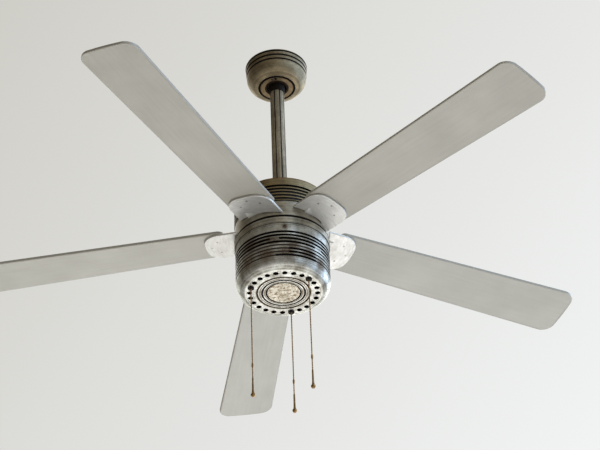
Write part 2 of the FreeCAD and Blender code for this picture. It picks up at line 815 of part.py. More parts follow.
# Upper drum: neck round the yoke, shallow dome, grooved side with vent slots
def make_upper_housing():
    wall = dim.upper_wall
    neck_inner = yoke_radius + dim.neck_clearance
    neck_outer = neck_inner + wall
    neck_top = yoke_top - dim.neck_headroom
    rod_hole = dim.rod_radius + dim.rod_hole_clearance
    crown = yoke_flange_top - wall
    drum_edge = crown + dim.upper_dome_height
    inner_radius = dim.upper_radius - wall

    def dome(width, height):
        return (width * width + height * height) / (height * 2)

    first = upper_bottom - dim.upper_groove_first
    count = dim.upper_groove_count.value
    centres = [first - dim.upper_groove_pitch * row for row in reversed(range(count))]
    points = [
        (rod_hole, neck_top),
        (neck_outer - wall, neck_top, wall, -1),
        (neck_outer, neck_top + wall),
        (neck_outer, crown),
        (dim.upper_flat_radius, crown,
         dome(dim.upper_radius - dim.upper_flat_radius, dim.upper_dome_height), -1),
        (dim.upper_radius, drum_edge),
    ]
    points += groove_rows(lambda drop: dim.upper_radius, dim.upper_groove_depth, dim.groove_width, centres)
    points += [
        (dim.upper_radius, upper_bottom),
        (inner_radius, upper_bottom),
        (inner_radius, drum_edge + wall,
         dome(inner_radius - dim.upper_flat_radius, dim.upper_dome_height), 1),
        (dim.upper_flat_radius, yoke_flange_top),
        (neck_inner, yoke_flange_top),
        (neck_inner, neck_top + wall),
        (rod_hole, neck_top + wall),
    ]
    shell = revolve("upper_shell", points)
    tools = []
    for row, centre in enumerate(centres):
        web = UPPER_WEB_ANGLES[row % len(UPPER_WEB_ANGLES)]
        tools += slot_tools(f"upper_slot_{row}", dim.upper_radius, dim.groove_width, centre, web)
    circle = (yoke_radius + dim.yoke_flange_radius).value / 2
    for number in range(3):
        tools.append(upright(f"upper_screw_hole_{number}", dim.housing_screw_radius + screw_clearance,
                             crown - dim.overrun, yoke_flange_top + wall, circle, 0, 120 * number + 60))
    keep(cut("upper_housing", shell, tools), "upper_housing")
    shank = wall + dim.yoke_flange_thickness
    places = [turned_about_z(120 * number + 60, circle, 0, -crown.value) for number in range(3)]
    group("upper_housing_screws", screw("upper_housing_screw", dim.housing_screw_radius, shank), places)


# Hollow shaft that stands still, with the stator pressed on it
def make_stator():
    keep(revolve("motor_shaft", [
        (dim.shaft_radius - dim.shaft_wall, rod_bottom),
        (dim.shaft_radius, rod_bottom),
        (dim.shaft_radius, shaft_bottom),
        (dim.shaft_radius - dim.shaft_wall, shaft_bottom),
    ]), "motor_shaft")
    core = new_body("stator_core")
    coil_circle = dim.stator_radius - dim.winding_inset - dim.winding_width / 2
    pad_on(core, "stator_core", None, dim.stator_height, -stator_bottom,
           [(dim.stator_radius,), (shaft_bore,)])
    slot_sketch = new_sketch(core, "coil_slot_outline", "XY_Plane", -stator_top)
    draw_circle(slot_sketch, dim.coil_radius + dim.slip_fit, coil_circle)
    slot = core.newObject("PartDesign::Pocket", "coil_slot")
    slot.Profile = slot_sketch
    bind(slot, "Length", dim.stator_height)
    slots = core.newObject("PartDesign::PolarPattern", "coil_slots")
    slots.Originals = [slot]
    slots.Axis = (slot_sketch, ["N_Axis"])
    slots.Angle = 360
    bind(slots, "Occurrences", dim.coil_count)
    core.Tip = slots
    keep(core, "stator_core")
    solids = []
    outer = dim.stator_radius - dim.winding_inset
    for number, (top, bottom) in enumerate(((stator_top - dim.winding_height, stator_top),
                                            (stator_bottom, stator_bottom + dim.winding_height))):
        solids.append(revolve(f"winding_end_{number}", [
            (outer - dim.winding_width, top),
            (outer, top),
            (outer, bottom),
            (outer - dim.winding_width, bottom),
        ]))
    for number in range(dim.coil_count.value):
        solids.append(upright(f"coil_side_{number}", dim.coil_radius, stator_top, stator_bottom,
                              coil_circle.value, 0, 360 / dim.coil_count.value * number))
    keep(fuse("stator_windings", solids), "stator_windings")


# Ball bearings: inner rings on the shaft, outer rings in the bells, balls between
def make_bearings():
    inner_radius = shaft_bore + dim.bearing_inner_wall
    outer_radius = dim.bearing_radius - dim.bearing_outer_wall
    pitch_radius = (inner_radius + outer_radius) / 2
    ball = (outer_radius - inner_radius) / 2 + dim.bearing_groove_depth - dim.bearing_ball_clearance
    groove = ball + dim.bearing_ball_clearance
    gap = pitch_radius - inner_radius
    half_track = (groove * groove - gap * gap).root()
    for name, top, bottom in (("upper", upper_bearing_top, upper_bearing_bottom),
                              ("lower", lower_bearing_top, lower_bearing_bottom)):
        middle = (top + bottom) / 2
        keep(revolve(f"{name}_bearing_inner", [
            (shaft_bore, top),
            (inner_radius, top),
            (inner_radius, middle - half_track, groove, 1),
            (inner_radius, middle + half_track),
            (inner_radius, bottom),
            (shaft_bore, bottom),
        ]), f"{name}_bearing_inner")
        keep(revolve(f"{name}_bearing_outer", [
            (outer_radius, top),
            (dim.bearing_radius, top),
            (dim.bearing_radius, bottom),
            (outer_radius, bottom),
            (outer_radius, middle + half_track, groove, 1),
            (outer_radius, middle - half_track),
        ]), f"{name}_bearing_outer")
        template = doc.addObject("Part::Sphere", f"{name}_bearing_ball")
        bind(template, "Radius", ball)
        step = 360 / dim.bearing_ball_count.value
        places = [turned_about_z(step * number, pitch_radius.value, 0, -middle.value)
                  for number in range(dim.bearing_ball_count.value)]
        group(f"{name}_bearing_balls", template, places)


# Rotor: lamination ring between two bells that hold the outer bearing rings
def make_rotor():
    keep(revolve("rotor_ring", [
        (rotor_inner, stator_top),
        (rotor_outer, stator_top),
        (rotor_outer, stator_bottom),
        (rotor_inner, stator_bottom),
    ]), "rotor_ring")
    seat = dim.bearing_radius + dim.slip_fit
    rim = rotor_outer - dim.rotor_rim_wall
    boss = seat + dim.bell_wall
    keep(revolve("upper_bell", [
        (dim.bearing_radius - dim.bell_lip, bell_top),
        (rotor_outer - dim.bell_wall, bell_top, dim.bell_wall, -1),
        (rotor_outer, bell_top + dim.bell_wall),
        (rotor_outer, stator_top),
        (rim, stator_top),
        (rim, upper_bearing_top),
        (boss, upper_bearing_top),
        (boss, upper_bearing_bottom),
        (seat, upper_bearing_bottom),
        (seat, upper_bearing_top),
        (dim.bearing_radius - dim.bell_lip, upper_bearing_top),
    ]), "upper_bell")
    lower = revolve("lower_bell_blank", [
        (seat, lower_bearing_top),
        (boss, lower_bearing_top),
        (boss, lower_bearing_bottom),
        (rim, lower_bearing_bottom),
        (rim, stator_bottom),
        (rotor_outer, stator_bottom),
        (rotor_outer, lower_bearing_bottom, dim.bell_wall, -1),
        (rotor_outer - dim.bell_wall, bell_bottom),
        (dim.bearing_radius - dim.bell_lip, bell_bottom),
        (dim.bearing_radius - dim.bell_lip, lower_bearing_bottom),
        (seat, lower_bearing_bottom),
    ])
    keep(cut("lower_bell", lower, iron_screw_holes("lower_bell", lower_bearing_bottom - dim.overrun,
                                                   bell_bottom + dim.overrun)), "lower_bell")


def iron_screw_places():
    """Two screws for each iron, side by side on its tongue."""
    radius = dim.tongue_inner_radius + dim.iron_screw_inset
    places = []
    for blade in range(dim.blade_count.value):
        angle = dim.blade_angle.value + BLADE_STEP * blade
        for side in (-1, 1):
            places.append((angle, radius.value, side * dim.iron_screw_pitch.value / 2))
    return places


def iron_screw_holes(name, top, bottom):
    holes = []
    for number, (angle, x, y) in enumerate(iron_screw_places()):
        holes.append(upright(f"{name}_hole_{number}", dim.iron_screw_radius + screw_clearance,
                             top, bottom, x, y, angle))
    return holes


# Hub ring: web bolted under the lower bell, skirt with a window for each iron's tongue
def make_hub_ring():
    inner = dim.hub_radius - dim.hub_wall
    blank = revolve("hub_blank", [
        (inner, hub_top),
        (dim.hub_radius, hub_top),
        (dim.hub_radius, hub_bottom),
        (inner, hub_bottom),
        (inner, hub_web_bottom),
        (dim.hub_bore_radius, hub_web_bottom),
        (dim.hub_bore_radius, bell_bottom),
        (inner, bell_bottom),
    ])
    clearance = dim.hub_window_clearance
    width = dim.tongue_width + clearance * 2
    depth = dim.tongue_thickness + clearance
    length = dim.hub_wall + dim.overrun * 2
    tools = iron_screw_holes("hub", bell_bottom - dim.overrun, hub_web_bottom + dim.overrun)
    start = (dim.hub_radius * dim.hub_radius - width * width / 4).root() - dim.hub_wall - dim.overrun
    for blade in range(dim.blade_count.value):
        angle = dim.blade_angle.value + BLADE_STEP * blade
        tools.append(box(f"tongue_window_{blade}", length + dim.hub_radius - start, width, depth,
                         turned_about_z(angle, start.value, -width.value / 2, -(hub_web_bottom + depth).value)))
    keep(cut("hub_ring", blank, tools), "hub_ring")


def blade_frame(angle):
    """Frame of one blade: x outwards along it, leaning with its droop and pitch."""
    droop = FreeCAD.Rotation(FreeCAD.Vector(0, 1, 0), dim.blade_droop.value)
    pitch = FreeCAD.Rotation(FreeCAD.Vector(1, 0, 0), -dim.blade_pitch.value)
    lean = FreeCAD.Placement(FreeCAD.Vector(0, 0, -iron_drop.value), droop.multiply(pitch))
    return turned_about_z(angle).multiply(lean)


def blade_screw_centres():
    """Three screws: a pair near the hub and one further out on the middle line."""
    near, far = [blade_root + (dim.petal_reach - blade_root) * share for share in BLADE_SCREW_SHARES]
    half = dim.blade_screw_span / 2
    return [(near, -half), (near, half), (far, as_size(0))]


def round_level_edges(body, feature, name, radius, height):
    """Round the outline's upper and lower edges, leaving the holes sharp."""
    doc.recompute()
    edges = []
    for number, edge in enumerate(feature.Shape.Edges):
        small = edge.BoundBox.DiagonalLength < height * 2 and edge.isClosed()
        if edge.BoundBox.ZLength < height / 2 and not small:
            edges.append(f"Edge{number + 1}")
    rounding = body.newObject("PartDesign::Fillet", name)
    rounding.Base = (feature, edges)
    bind(rounding, "Radius", radius)
    body.Tip = rounding


def tip_outline(reach, half_width, corner):
    """Half of a rounded tip: where its corner starts, and where that corner meets the end's wide arc."""
    flank = half_width - corner
    inset = reach - corner
    start = (inset * inset - flank * flank).root()
    return start, start * reach / inset, flank * reach / inset


def cross_section(name, half_width, half_height, place):
    """Upright rectangle across a blade's length."""
    sketch = doc.addObject("Sketcher::SketchObject", name)
    draw(sketch, [
        (-half_width, -half_height),
        (half_width, -half_height),
        (half_width, half_height),
        (-half_width, half_height),
    ])
    across = FreeCAD.Rotation(FreeCAD.Vector(1, 1, 1), 120)
    sketch.Placement = place.multiply(FreeCAD.Placement(FreeCAD.Vector(), across))
    return sketch


# Blade irons: a broad leaning petal under each blade, twisted at its root into a level tongue in the hub
def make_blade_iron(number, angle):
    name = f"blade_iron_{number}"
    half = dim.petal_width / 2
    inner = dim.hub_radius + dim.petal_clearance
    root = (inner * inner - half * half).root()
    start, tip, flank = tip_outline(dim.petal_reach, half, dim.petal_corner)
    petal = new_body(name + "_petal")
    holes = [(dim.blade_screw_radius + screw_clearance, u, v) for u, v in blade_screw_centres()]
    plate = pad_on(petal, name, [
        (root, -half),
        (start, -half, dim.petal_corner, 1),
        (tip, -flank, dim.petal_reach, 1),
        (tip, flank, dim.petal_corner, 1),
        (start, half),
        (root, half, inner, -1),
    ], dim.petal_thickness, -(dim.petal_thickness / 2), holes)
    round_level_edges(petal, plate, name + "_round", dim.petal_round, dim.petal_thickness.value)
    petal.Placement = blade_frame(angle)
    half_tongue = dim.tongue_width / 2
    tongue = new_body(name + "_tongue")
    screw_x = dim.tongue_inner_radius + dim.iron_screw_inset
    pair = dim.iron_screw_pitch / 2
    hole = dim.iron_screw_radius + screw_clearance
    pad_on(tongue, name + "_tongue", [
        (dim.tongue_inner_radius, -half_tongue),
        (inner, -half_tongue),
        (inner, half_tongue),
        (dim.tongue_inner_radius, half_tongue),
    ], dim.tongue_thickness, -tongue_bottom, [(hole, screw_x, -pair), (hole, screw_x, pair)])
    tongue.Placement = turned_about_z(angle)
    level = turned_about_z(angle, inner.value, 0, -iron_drop.value)
    leaning = blade_frame(angle).multiply(turned_about_z(0, (inner + dim.tongue_overlap).value))
    ends = [cross_section(name + "_root_level", half_tongue, dim.tongue_thickness / 2, level),
            cross_section(name + "_root_leaning", half_tongue, dim.petal_thickness / 2 - dim.petal_round, leaning)]
    twist = doc.addObject("Part::Loft", name + "_twist")
    twist.Sections = ends
    twist.Solid = True
    twist.Ruled = True
    keep(fuse(name, [petal, tongue, twist]), name)


# Blades: flat tapered planks with rounded corners, screwed down on the irons
def make_blade(number, angle):
    name = f"blade_{number}"
    root_half = dim.blade_root_width / 2
    tip_half = dim.blade_tip_width / 2
    start, tip, flank = tip_outline(dim.blade_reach, tip_half, dim.blade_tip_corner)
    corner = dim.blade_root_corner
    body = new_body(name)
    holes = [(dim.blade_screw_radius + screw_clearance, u, v) for u, v in blade_screw_centres()]
    plank = pad_on(body, name, [
        (blade_root + corner, -root_half),
        (start, -tip_half, dim.blade_tip_corner, 1),
        (tip, -flank, dim.blade_reach, 1),
        (tip, flank, dim.blade_tip_corner, 1),
        (start, tip_half),
        (blade_root + corner, root_half, corner, 1),
        (blade_root, root_half - corner),
        (blade_root, corner - root_half, corner, 1),
    ], dim.blade_thickness, dim.petal_thickness / 2, holes)
    round_level_edges(body, plank, name + "_round", dim.blade_thickness / 4, dim.blade_thickness.value)
    body.Placement = blade_frame(angle)
    keep(body, name)


def make_blades():
    for number in range(dim.blade_count.value):
        angle = dim.blade_angle.value + BLADE_STEP * number
        make_blade_iron(number + 1, angle)
        make_blade(number + 1, angle)
    shank = bell_bottom - lower_bearing_bottom + dim.hub_web + dim.tongue_thickness
    over = FreeCAD.Placement(FreeCAD.Vector(), FreeCAD.Rotation(FreeCAD.Vector(1, 0, 0), 180))
    places = [turned_about_z(angle, x, y, -tongue_bottom.value).multiply(over)
              for angle, x, y in iron_screw_places()]
    group("iron_screws", screw("iron_screw", dim.iron_screw_radius, shank), places)
    head = dim.petal_thickness / 2 + dim.blade_thickness
    places = []
    for number in range(dim.blade_count.value):
        frame = blade_frame(dim.blade_angle.value + BLADE_STEP * number)
        for u, v in blade_screw_centres():
            seat = FreeCAD.Placement(FreeCAD.Vector(u.value, v.value, head.value), FreeCAD.Rotation())
            places.append(frame.multiply(seat))
    shank = dim.blade_thickness + dim.petal_thickness
    group("blade_screws", screw("blade_screw", dim.blade_screw_radius, shank), places)


# Plate under the rotor: clamped on the shaft, with a rim band and three legs for the drum
def make_switch_plate():
    keep(revolve("shaft_spacer", [
        (shaft_bore, lower_bearing_bottom),
        (shaft_bore + dim.spacer_wall, lower_bearing_bottom),
        (shaft_bore + dim.spacer_wall, switch_plate_top),
        (shaft_bore, switch_plate_top),
    ]), "shaft_spacer")
    dish = revolve("switch_dish", [
        (shaft_bore, switch_plate_top),
        (band_radius, switch_plate_top),
        (band_radius, band_bottom),
        (band_inner, band_bottom),
        (band_inner, switch_plate_bottom),
        (shaft_bore, switch_plate_bottom),
    ])
    leg_inner = drum_inner - dim.leg_clearance - dim.leg_thickness
    leg_bottom = switch_plate_bottom + dim.leg_length
    solids = [dish]
    tools = []
    for number in range(3):
        angle = dim.drum_screw_angle.value + 120 * number
        solids.append(box(f"leg_{number}", dim.leg_thickness, dim.leg_width, leg_bottom - switch_plate_top,
                          turned_about_z(angle, leg_inner.value, -dim.leg_width.value / 2, -leg_bottom.value)))
        tools.append(crosswise(f"leg_hole_{number}", dim.housing_screw_radius + screw_clearance,
                               (leg_inner - dim.overrun).value, dim.leg_thickness + dim.overrun * 2,
                               drum_screw_drop, angle))
    keep(cut("switch_plate", fuse("switch_plate_solid", solids), tools), "switch_plate")
    nut = new_body("shaft_nut")
    across = dim.shaft_nut_across
    corners = []
    for corner in range(6):
        turn = math.radians(60 * corner)
        corners.append((across / math.sqrt(3) * math.cos(turn), across / math.sqrt(3) * math.sin(turn)))
    pad_on(nut, "shaft_nut", corners, dim.shaft_nut_height,
           -(switch_plate_bottom + dim.shaft_nut_height), [(shaft_bore,)])
    keep(nut, "shaft_nut")


def ring_groove(radius, width, depth):
    """Groove cut up into the drum's flat bottom, listed from the outside in."""
    return [
        (radius + width / 2, drum_bottom),
        (radius + width / 2, drum_bottom - depth),
        (radius - width / 2, drum_bottom - depth),
        (radius - width / 2, drum_bottom),
    ]


# Lower drum: grooved and slotted side, rounded corner, perforated and ringed bottom
def make_switch_housing():
    corner = drum_floor["corner"]
    last = drum_bottom - corner - dim.drum_groove_last
    count = dim.drum_groove_count.value
    centres = [last - dim.drum_groove_pitch * row for row in reversed(range(count))]
    recess = cap_radius + dim.cap_gap
    recess_top = drum_bottom - dim.cap_thickness
    spigot_hole = cap_spigot + dim.drum_fit
    inner_corner = corner - dim.drum_wall
    points = [
        (drum_inner, drum_top),
        (dim.drum_radius, drum_top),
    ]
    points += groove_rows(lambda drop: dim.drum_radius, dim.drum_groove_depth, dim.groove_width, centres)
    points += [
        (dim.drum_radius, drum_bottom - corner, corner, -1),
        (dim.drum_radius - corner, drum_bottom),
    ]
    for ring in ("outer", "inner"):
        points += ring_groove(drum_floor[ring + "_ring"], dim.ring_groove_width, dim.ring_groove_depth)
        points += ring_groove(drum_floor[ring + "_step"], dim.ring_step_width, dim.ring_step_depth)
    points += [
        (recess, drum_bottom),
        (recess, recess_top),
        (spigot_hole, recess_top),
        (spigot_hole, drum_floor_top),
        (drum_inner - inner_corner, drum_floor_top, inner_corner, 1),
        (drum_inner, drum_floor_top - inner_corner),
    ]
    shell = revolve("drum_shell", points)
    vent_sketch = new_sketch(shell, "vent_outline", "XY_Plane", -drum_floor_top)
    draw_circle(vent_sketch, dim.vent_radius, vent_circle)
    vent = shell.newObject("PartDesign::Pocket", "vent")
    vent.Profile = vent_sketch
    bind(vent, "Length", dim.drum_floor + dim.overrun)
    vents = shell.newObject("PartDesign::PolarPattern", "vents")
    vents.Originals = [vent]
    vents.Axis = (vent_sketch, ["N_Axis"])
    vents.Angle = 360
    bind(vents, "Occurrences", dim.vent_count)
    shell.Tip = vents
    shell.Placement = turned_about_z(dim.vent_angle.value)
    tools = []
    for row, slots in enumerate(DRUM_SLOTS):
        bottom = -(centres[row] + dim.groove_width / 2).value
        for number, (start, run) in enumerate(slots):
            tools.append(cylinder(f"drum_slot_{row}_{number}", dim.drum_radius + dim.overrun, dim.groove_width,
                                  turned_about_z(start, 0, 0, bottom), as_size(run)))
    for row in range(dim.short_slot_first_row.value, dim.drum_groove_count.value):
        bottom = -(centres[row] + dim.groove_width / 2).value
        for number, start in enumerate(SHORT_SLOT_ANGLES):
            tools.append(cylinder(f"short_slot_{row}_{number}", dim.drum_radius + dim.overrun,
                                  dim.groove_width, turned_about_z(start, 0, 0, bottom), dim.short_slot_angle))
    for number in range(3):
        tools.append(crosswise(f"drum_screw_hole_{number}", dim.housing_screw_radius + screw_clearance,
                               (drum_inner - dim.overrun).value, dim.drum_wall + dim.overrun * 2,
                               drum_screw_drop, dim.drum_screw_angle.value + 120 * number))
    keep(cut("switch_housing", shell, tools), "switch_housing")
    outwards = FreeCAD.Placement(FreeCAD.Vector(), FreeCAD.Rotation(FreeCAD.Vector(0, 1, 0), 90))
    places = [turned_about_z(dim.drum_screw_angle.value + 120 * number, dim.drum_radius.value, 0,
                             -drum_screw_drop.value).multiply(outwards) for number in range(3)]
    shank = dim.drum_wall + dim.leg_clearance + dim.leg_thickness
    group("housing_screws", screw("housing_screw", dim.housing_screw_radius, shank), places)
    make_centre_cap(recess, recess_top)


# Plain cap in the middle of the bottom, on a spigot, with one locating tab in the gap round it
def make_centre_cap(recess, recess_top):
    disc = revolve("cap_disc", [
        (0, recess_top - dim.cap_spigot_height),
        (cap_spigot, recess_top - dim.cap_spigot_height),
        (cap_spigot, recess_top),
        (cap_radius, recess_top),
        (cap_radius, drum_bottom - dim.cap_edge, dim.cap_edge, -1),
        (cap_radius - dim.cap_edge, drum_bottom),
        (0, drum_bottom),
    ])
    start = cap_radius - dim.cap_tab_width
    tab = box("cap_tab", recess - dim.drum_fit - start, dim.cap_tab_width, dim.cap_thickness - dim.cap_edge,
              turned_about_z(dim.cap_tab_angle.value, start.value, -dim.cap_tab_width.value / 2,
                             -(recess_top + dim.cap_thickness - dim.cap_edge).value))
    keep(fuse("centre_cap", [disc, tab]), "centre_cap")


def pull_angle(side):
    return dim.vent_angle.value + VENT_STEP * PULL_HOLES[side]


# Pull switches over three of the vent holes, each on a brass bush held by a round nut
def make_switches():
    for side in PULL_HOLES:
        place = turned_about_z(pull_angle(side), vent_circle.value)
        body = new_body(f"pull_switch_{side}")
        deep = dim.switch_depth / 2
        wide = dim.switch_width / 2
        pad_on(body, f"pull_switch_{side}", [
            (-deep, -wide),
            (deep, -wide),
            (deep, wide),
            (-deep, wide),
        ], dim.switch_height, -switch_bottom)
        throat_sketch = new_sketch(body, f"throat_outline_{side}", "XY_Plane", -switch_bottom)
        draw_circle(throat_sketch, bush_bore)
        throat = body.newObject("PartDesign::Pocket", f"throat_{side}")
        throat.Profile = throat_sketch
        throat.Reversed = True
        bind(throat, "Length", dim.switch_throat_depth)
        body.Tip = throat
        body.Placement = place
        keep(body, f"pull_switch_{side}")
    places = [turned_about_z(pull_angle(side), vent_circle.value) for side in PULL_HOLES]
    group("switch_bushes", revolve("switch_bush", [
        (bush_bore, switch_bottom),
        (bush_radius + dim.bush_shoulder, switch_bottom),
        (bush_radius + dim.bush_shoulder, drum_floor_top),
        (bush_radius, drum_floor_top),
        (bush_radius, bush_bottom),
        (bush_bore, bush_bottom),
    ]), places)
    nut_bore = bush_radius + dim.slip_fit
    group("switch_nuts", revolve("switch_nut", [
        (nut_bore, drum_bottom),
        (nut_bore + dim.switch_nut_wall, drum_bottom),
        (nut_bore + dim.switch_nut_wall, drum_bottom + dim.switch_nut_height),
        (nut_bore, drum_bottom + dim.switch_nut_height),
    ]), places)


# Capacitor: rounded block hung from the switch plate
def make_capacitor():
    body = new_body("capacitor")
    length = dim.capacitor_length / 2
    depth = dim.capacitor_depth / 2
    corner = dim.capacitor_round
    block = pad_on(body, "capacitor", [
        (corner - depth, -length),
        (depth - corner, -length, corner, 1),
        (depth, corner - length),
        (depth, length - corner, corner, 1),
        (depth - corner, length),
        (corner - depth, length, corner, 1),
        (-depth, length - corner),
        (-depth, corner - length, corner, 1),
    ], dim.capacitor_height, -(switch_plate_bottom + dim.capacitor_height))
    body.Tip = block
    body.Placement = turned_about_z(dim.capacitor_angle.value, drum_floor["capacitor"].value)
    keep(body, "capacitor")


# Pulls: ball chain, connector, short link of chain, and a slender fob with a ball end
def make_pull(side, drop):
    place = turned_about_z(pull_angle(side), vent_circle.value)
    fob_bottom = drum_bottom + drop
    fob_top = fob_bottom - dim.fob_length
    connector_bottom = fob_top - dim.link_length
    connector_top = connector_bottom - dim.connector_length
    chain_top = switch_bottom - dim.chain_above_bush
    stretches = []
    for name, top, bottom in (("chain_run", chain_top, connector_top), ("chain_link", connector_bottom, fob_top)):
        stretches.append(cylinder(f"{name}_{side}", dim.chain_radius, bottom - top,
                                  FreeCAD.Placement(place.Base + FreeCAD.Vector(0, 0, -bottom.value),
                                                    FreeCAD.Rotation())))
    doc.recompute()
    chain = doc.addObject("Part::Feature", f"pull_chain_{side}")
    chain.Shape = Part.makeCompound([stretch.Shape for stretch in stretches])
    keep(chain, f"pull_chain_{side}")
    waist = dim.connector_length / 2
    connector = revolve(f"chain_connector_{side}", [
        (0, connector_top),
        (dim.chain_radius, connector_top),
        (dim.connector_radius, connector_top + dim.connector_neck),
        (dim.connector_radius, connector_top + waist - dim.connector_neck / 2),
        (dim.chain_radius, connector_top + waist),
        (dim.connector_radius, connector_top + waist + dim.connector_neck / 2),
        (dim.connector_radius, connector_bottom - dim.connector_neck),
        (dim.chain_radius, connector_bottom),
        (0, connector_bottom),
    ])
    connector.Placement = place
    keep(connector, f"chain_connector_{side}")
    ball = dim.fob_ball_radius
    centre = fob_bottom - ball
    neck = centre - (ball * ball - dim.fob_neck_radius * dim.fob_neck_radius).root()
    flare_bottom = neck - (dim.fob_flare_radius - dim.fob_neck_radius)
    flare_top = flare_bottom - ball * 2
    flare_width = dim.fob_flare_radius - dim.fob_stem_radius
    flare_height = flare_bottom - flare_top
    flare = (flare_width * flare_width + flare_height * flare_height) / (flare_width * 2)
    fob = revolve(f"pull_fob_{side}", [
        (0, fob_top),
        (dim.fob_top_radius, fob_top),
        (dim.fob_stem_radius, flare_top, flare, 1),
        (dim.fob_flare_radius, flare_bottom),
        (dim.fob_neck_radius, neck, ball, -1),
        (ball, centre, ball, -1),
        (0, fob_bottom),
    ])
    fob.Placement = place
    keep(fob, f"pull_fob_{side}")


def check_and_write():
    """Stop on any failed object, then write one file for each piece."""
    doc.recompute()
    for item in doc.Objects:
        if "Invalid" in item.State or "Error" in item.State:
            raise RuntimeError(f"{item.Label} failed: {item.State}")
    for piece in pieces:
        if piece.Shape.isNull() or not piece.Shape.isValid():
            raise RuntimeError(f"{piece.Label} has no valid shape")
        if piece.Shape.Volume <= 0:
            raise RuntimeError(f"{piece.Label} has no volume")
    os.makedirs("parts", exist_ok=True)
    for piece in pieces:
        piece.Shape.exportStep(f"parts/{piece.Label}.step")
        print(f"{piece.Label}: {len(piece.Shape.Solids)} solids, {piece.Shape.Volume:.1f} mm3")


make_hanger_bracket()
make_canopy()
make_trim_ring()
make_ball_and_rod()
make_upper_housing()
make_stator()
make_bearings()
make_rotor()
make_hub_ring()
make_blades()
make_switch_plate()
make_switch_housing()
make_switches()
make_capacitor()
make_pull("right", dim.pull_drop_right)
make_pull("middle", dim.pull_drop_middle)
make_pull("left", dim.pull_drop_left)
check_and_write()
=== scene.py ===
import math

import bmesh
import bpy
from mathutils import Matrix, Vector


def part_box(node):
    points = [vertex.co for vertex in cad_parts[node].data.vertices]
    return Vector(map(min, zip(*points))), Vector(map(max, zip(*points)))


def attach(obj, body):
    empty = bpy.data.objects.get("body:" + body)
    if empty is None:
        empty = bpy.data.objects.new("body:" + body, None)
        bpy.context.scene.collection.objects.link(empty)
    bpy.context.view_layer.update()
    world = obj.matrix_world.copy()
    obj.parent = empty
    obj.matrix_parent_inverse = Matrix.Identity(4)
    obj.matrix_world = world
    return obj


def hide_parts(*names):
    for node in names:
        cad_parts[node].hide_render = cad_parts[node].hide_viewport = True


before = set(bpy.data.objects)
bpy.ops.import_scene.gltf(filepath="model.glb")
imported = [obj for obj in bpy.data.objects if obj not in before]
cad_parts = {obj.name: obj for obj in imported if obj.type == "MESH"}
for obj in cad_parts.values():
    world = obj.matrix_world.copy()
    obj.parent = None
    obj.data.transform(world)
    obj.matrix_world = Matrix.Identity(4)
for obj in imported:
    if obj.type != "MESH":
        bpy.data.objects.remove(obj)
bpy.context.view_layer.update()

# Room. The fan hangs high in a pale room and is seen from below, by someone who stands on the floor.
# The floor sends soft light up, a window on the right adds cool light, and the left side is dim and warm.
EYE = (0.0, -3.2047, -2.8679)
EYE_YAW = 0.0117
EYE_PITCH = 0.6520
EYE_ROLL = -0.0404
FOCAL_PIXELS = 2000.0
PHOTO_PIXELS = 600.0
FAN_MIDDLE = (0, 0, -0.5)
FLOOR_HEIGHT = -10.0
FLOOR_HALF_SIZE = 45.0
FLOOR_BRIGHT_SPOT = (1.8, -1.1, FLOOR_HEIGHT)


def linear(text):
    """Linear colour of an sRGB hex value."""
    channels = [int(text[i:i + 2], 16) / 255 for i in (1, 3, 5)]
    return [c / 12.92 if c <= 0.04045 else ((c + 0.055) / 1.055) ** 2.4 for c in channels] + [1.0]


def add(tree, kind, inputs, out=0, stops=(), **settings):
    """Add a node; an input is a value or another node's output, and stops are a ramp's places and tones."""
    node = tree.nodes.new(kind)
    for key, value in settings.items():
        setattr(node, key, value)
    for key, value in inputs.items():
        if isinstance(value, bpy.types.NodeSocket):
            tree.links.new(value, node.inputs[key])
        else:
            node.inputs[key].default_value = linear(value) if isinstance(value, str) else value
    for number, (place, tone) in enumerate(stops):
        if number > 1:
            node.color_ramp.elements.new(place)
        node.color_ramp.elements[number].position = place
        node.color_ramp.elements[number].color = linear(tone)
    return node.outputs[out]


def show(name, mesh, finish):
    """Put a finished mesh in the scene as an object at the origin."""
    data = bpy.data.meshes.new(name)
    mesh.to_mesh(data)
    mesh.free()
    data.materials.append(finish)
    piece = bpy.data.objects.new(name, data)
    bpy.context.collection.objects.link(piece)
    return piece


camera = bpy.data.objects.new("camera", bpy.data.cameras.new("camera"))
bpy.context.collection.objects.link(camera)
camera.data.lens = camera.data.sensor_width * FOCAL_PIXELS / PHOTO_PIXELS
facing = Matrix.Rotation(-EYE_YAW, 4, "Z") @ Matrix.Rotation(math.pi / 2 + EYE_PITCH, 4, "X")
camera.matrix_world = Matrix.Translation(EYE) @ facing @ Matrix.Rotation(EYE_ROLL, 4, "Z")
bpy.context.scene.camera = camera
bpy.context.scene.view_settings.view_transform = "Standard"

# The walls are only seen as reflections: warm and dim on the left, cool and bright on the right, and a pale
# wall at the far side. The camera itself sees a plain ceiling that gets brighter to the lower right.
world = bpy.data.worlds.new("pale_room")
world.use_nodes = True
sky = world.node_tree
sky.nodes.clear()
direction = add(sky, "ShaderNodeTexCoord", {}, out="Generated")
sideways = add(sky, "ShaderNodeSeparateXYZ", {"Vector": direction}, out="X")
backwards = sideways.node.outputs["Y"]
upwards = sideways.node.outputs["Z"]
side = add(sky, "ShaderNodeMapRange", {"Value": sideways, "From Min": -1.0, "From Max": 1.0})
walls = add(sky, "ShaderNodeValToRGB", {"Fac": side},
            stops=[(0.0, "#7d7262"), (0.3, "#948a79"), (0.55, "#a09b8d"), (0.8, "#c9dffb"), (1.0, "#c6deff")])
power = add(sky, "ShaderNodeMapRange", {"Value": sideways, "From Min": -0.6, "From Max": 0.9,
                                        "To Min": 0.66, "To Max": 2.6})
level = add(sky, "ShaderNodeMapRange", {"Value": upwards, "From Min": -0.45, "From Max": -0.1})
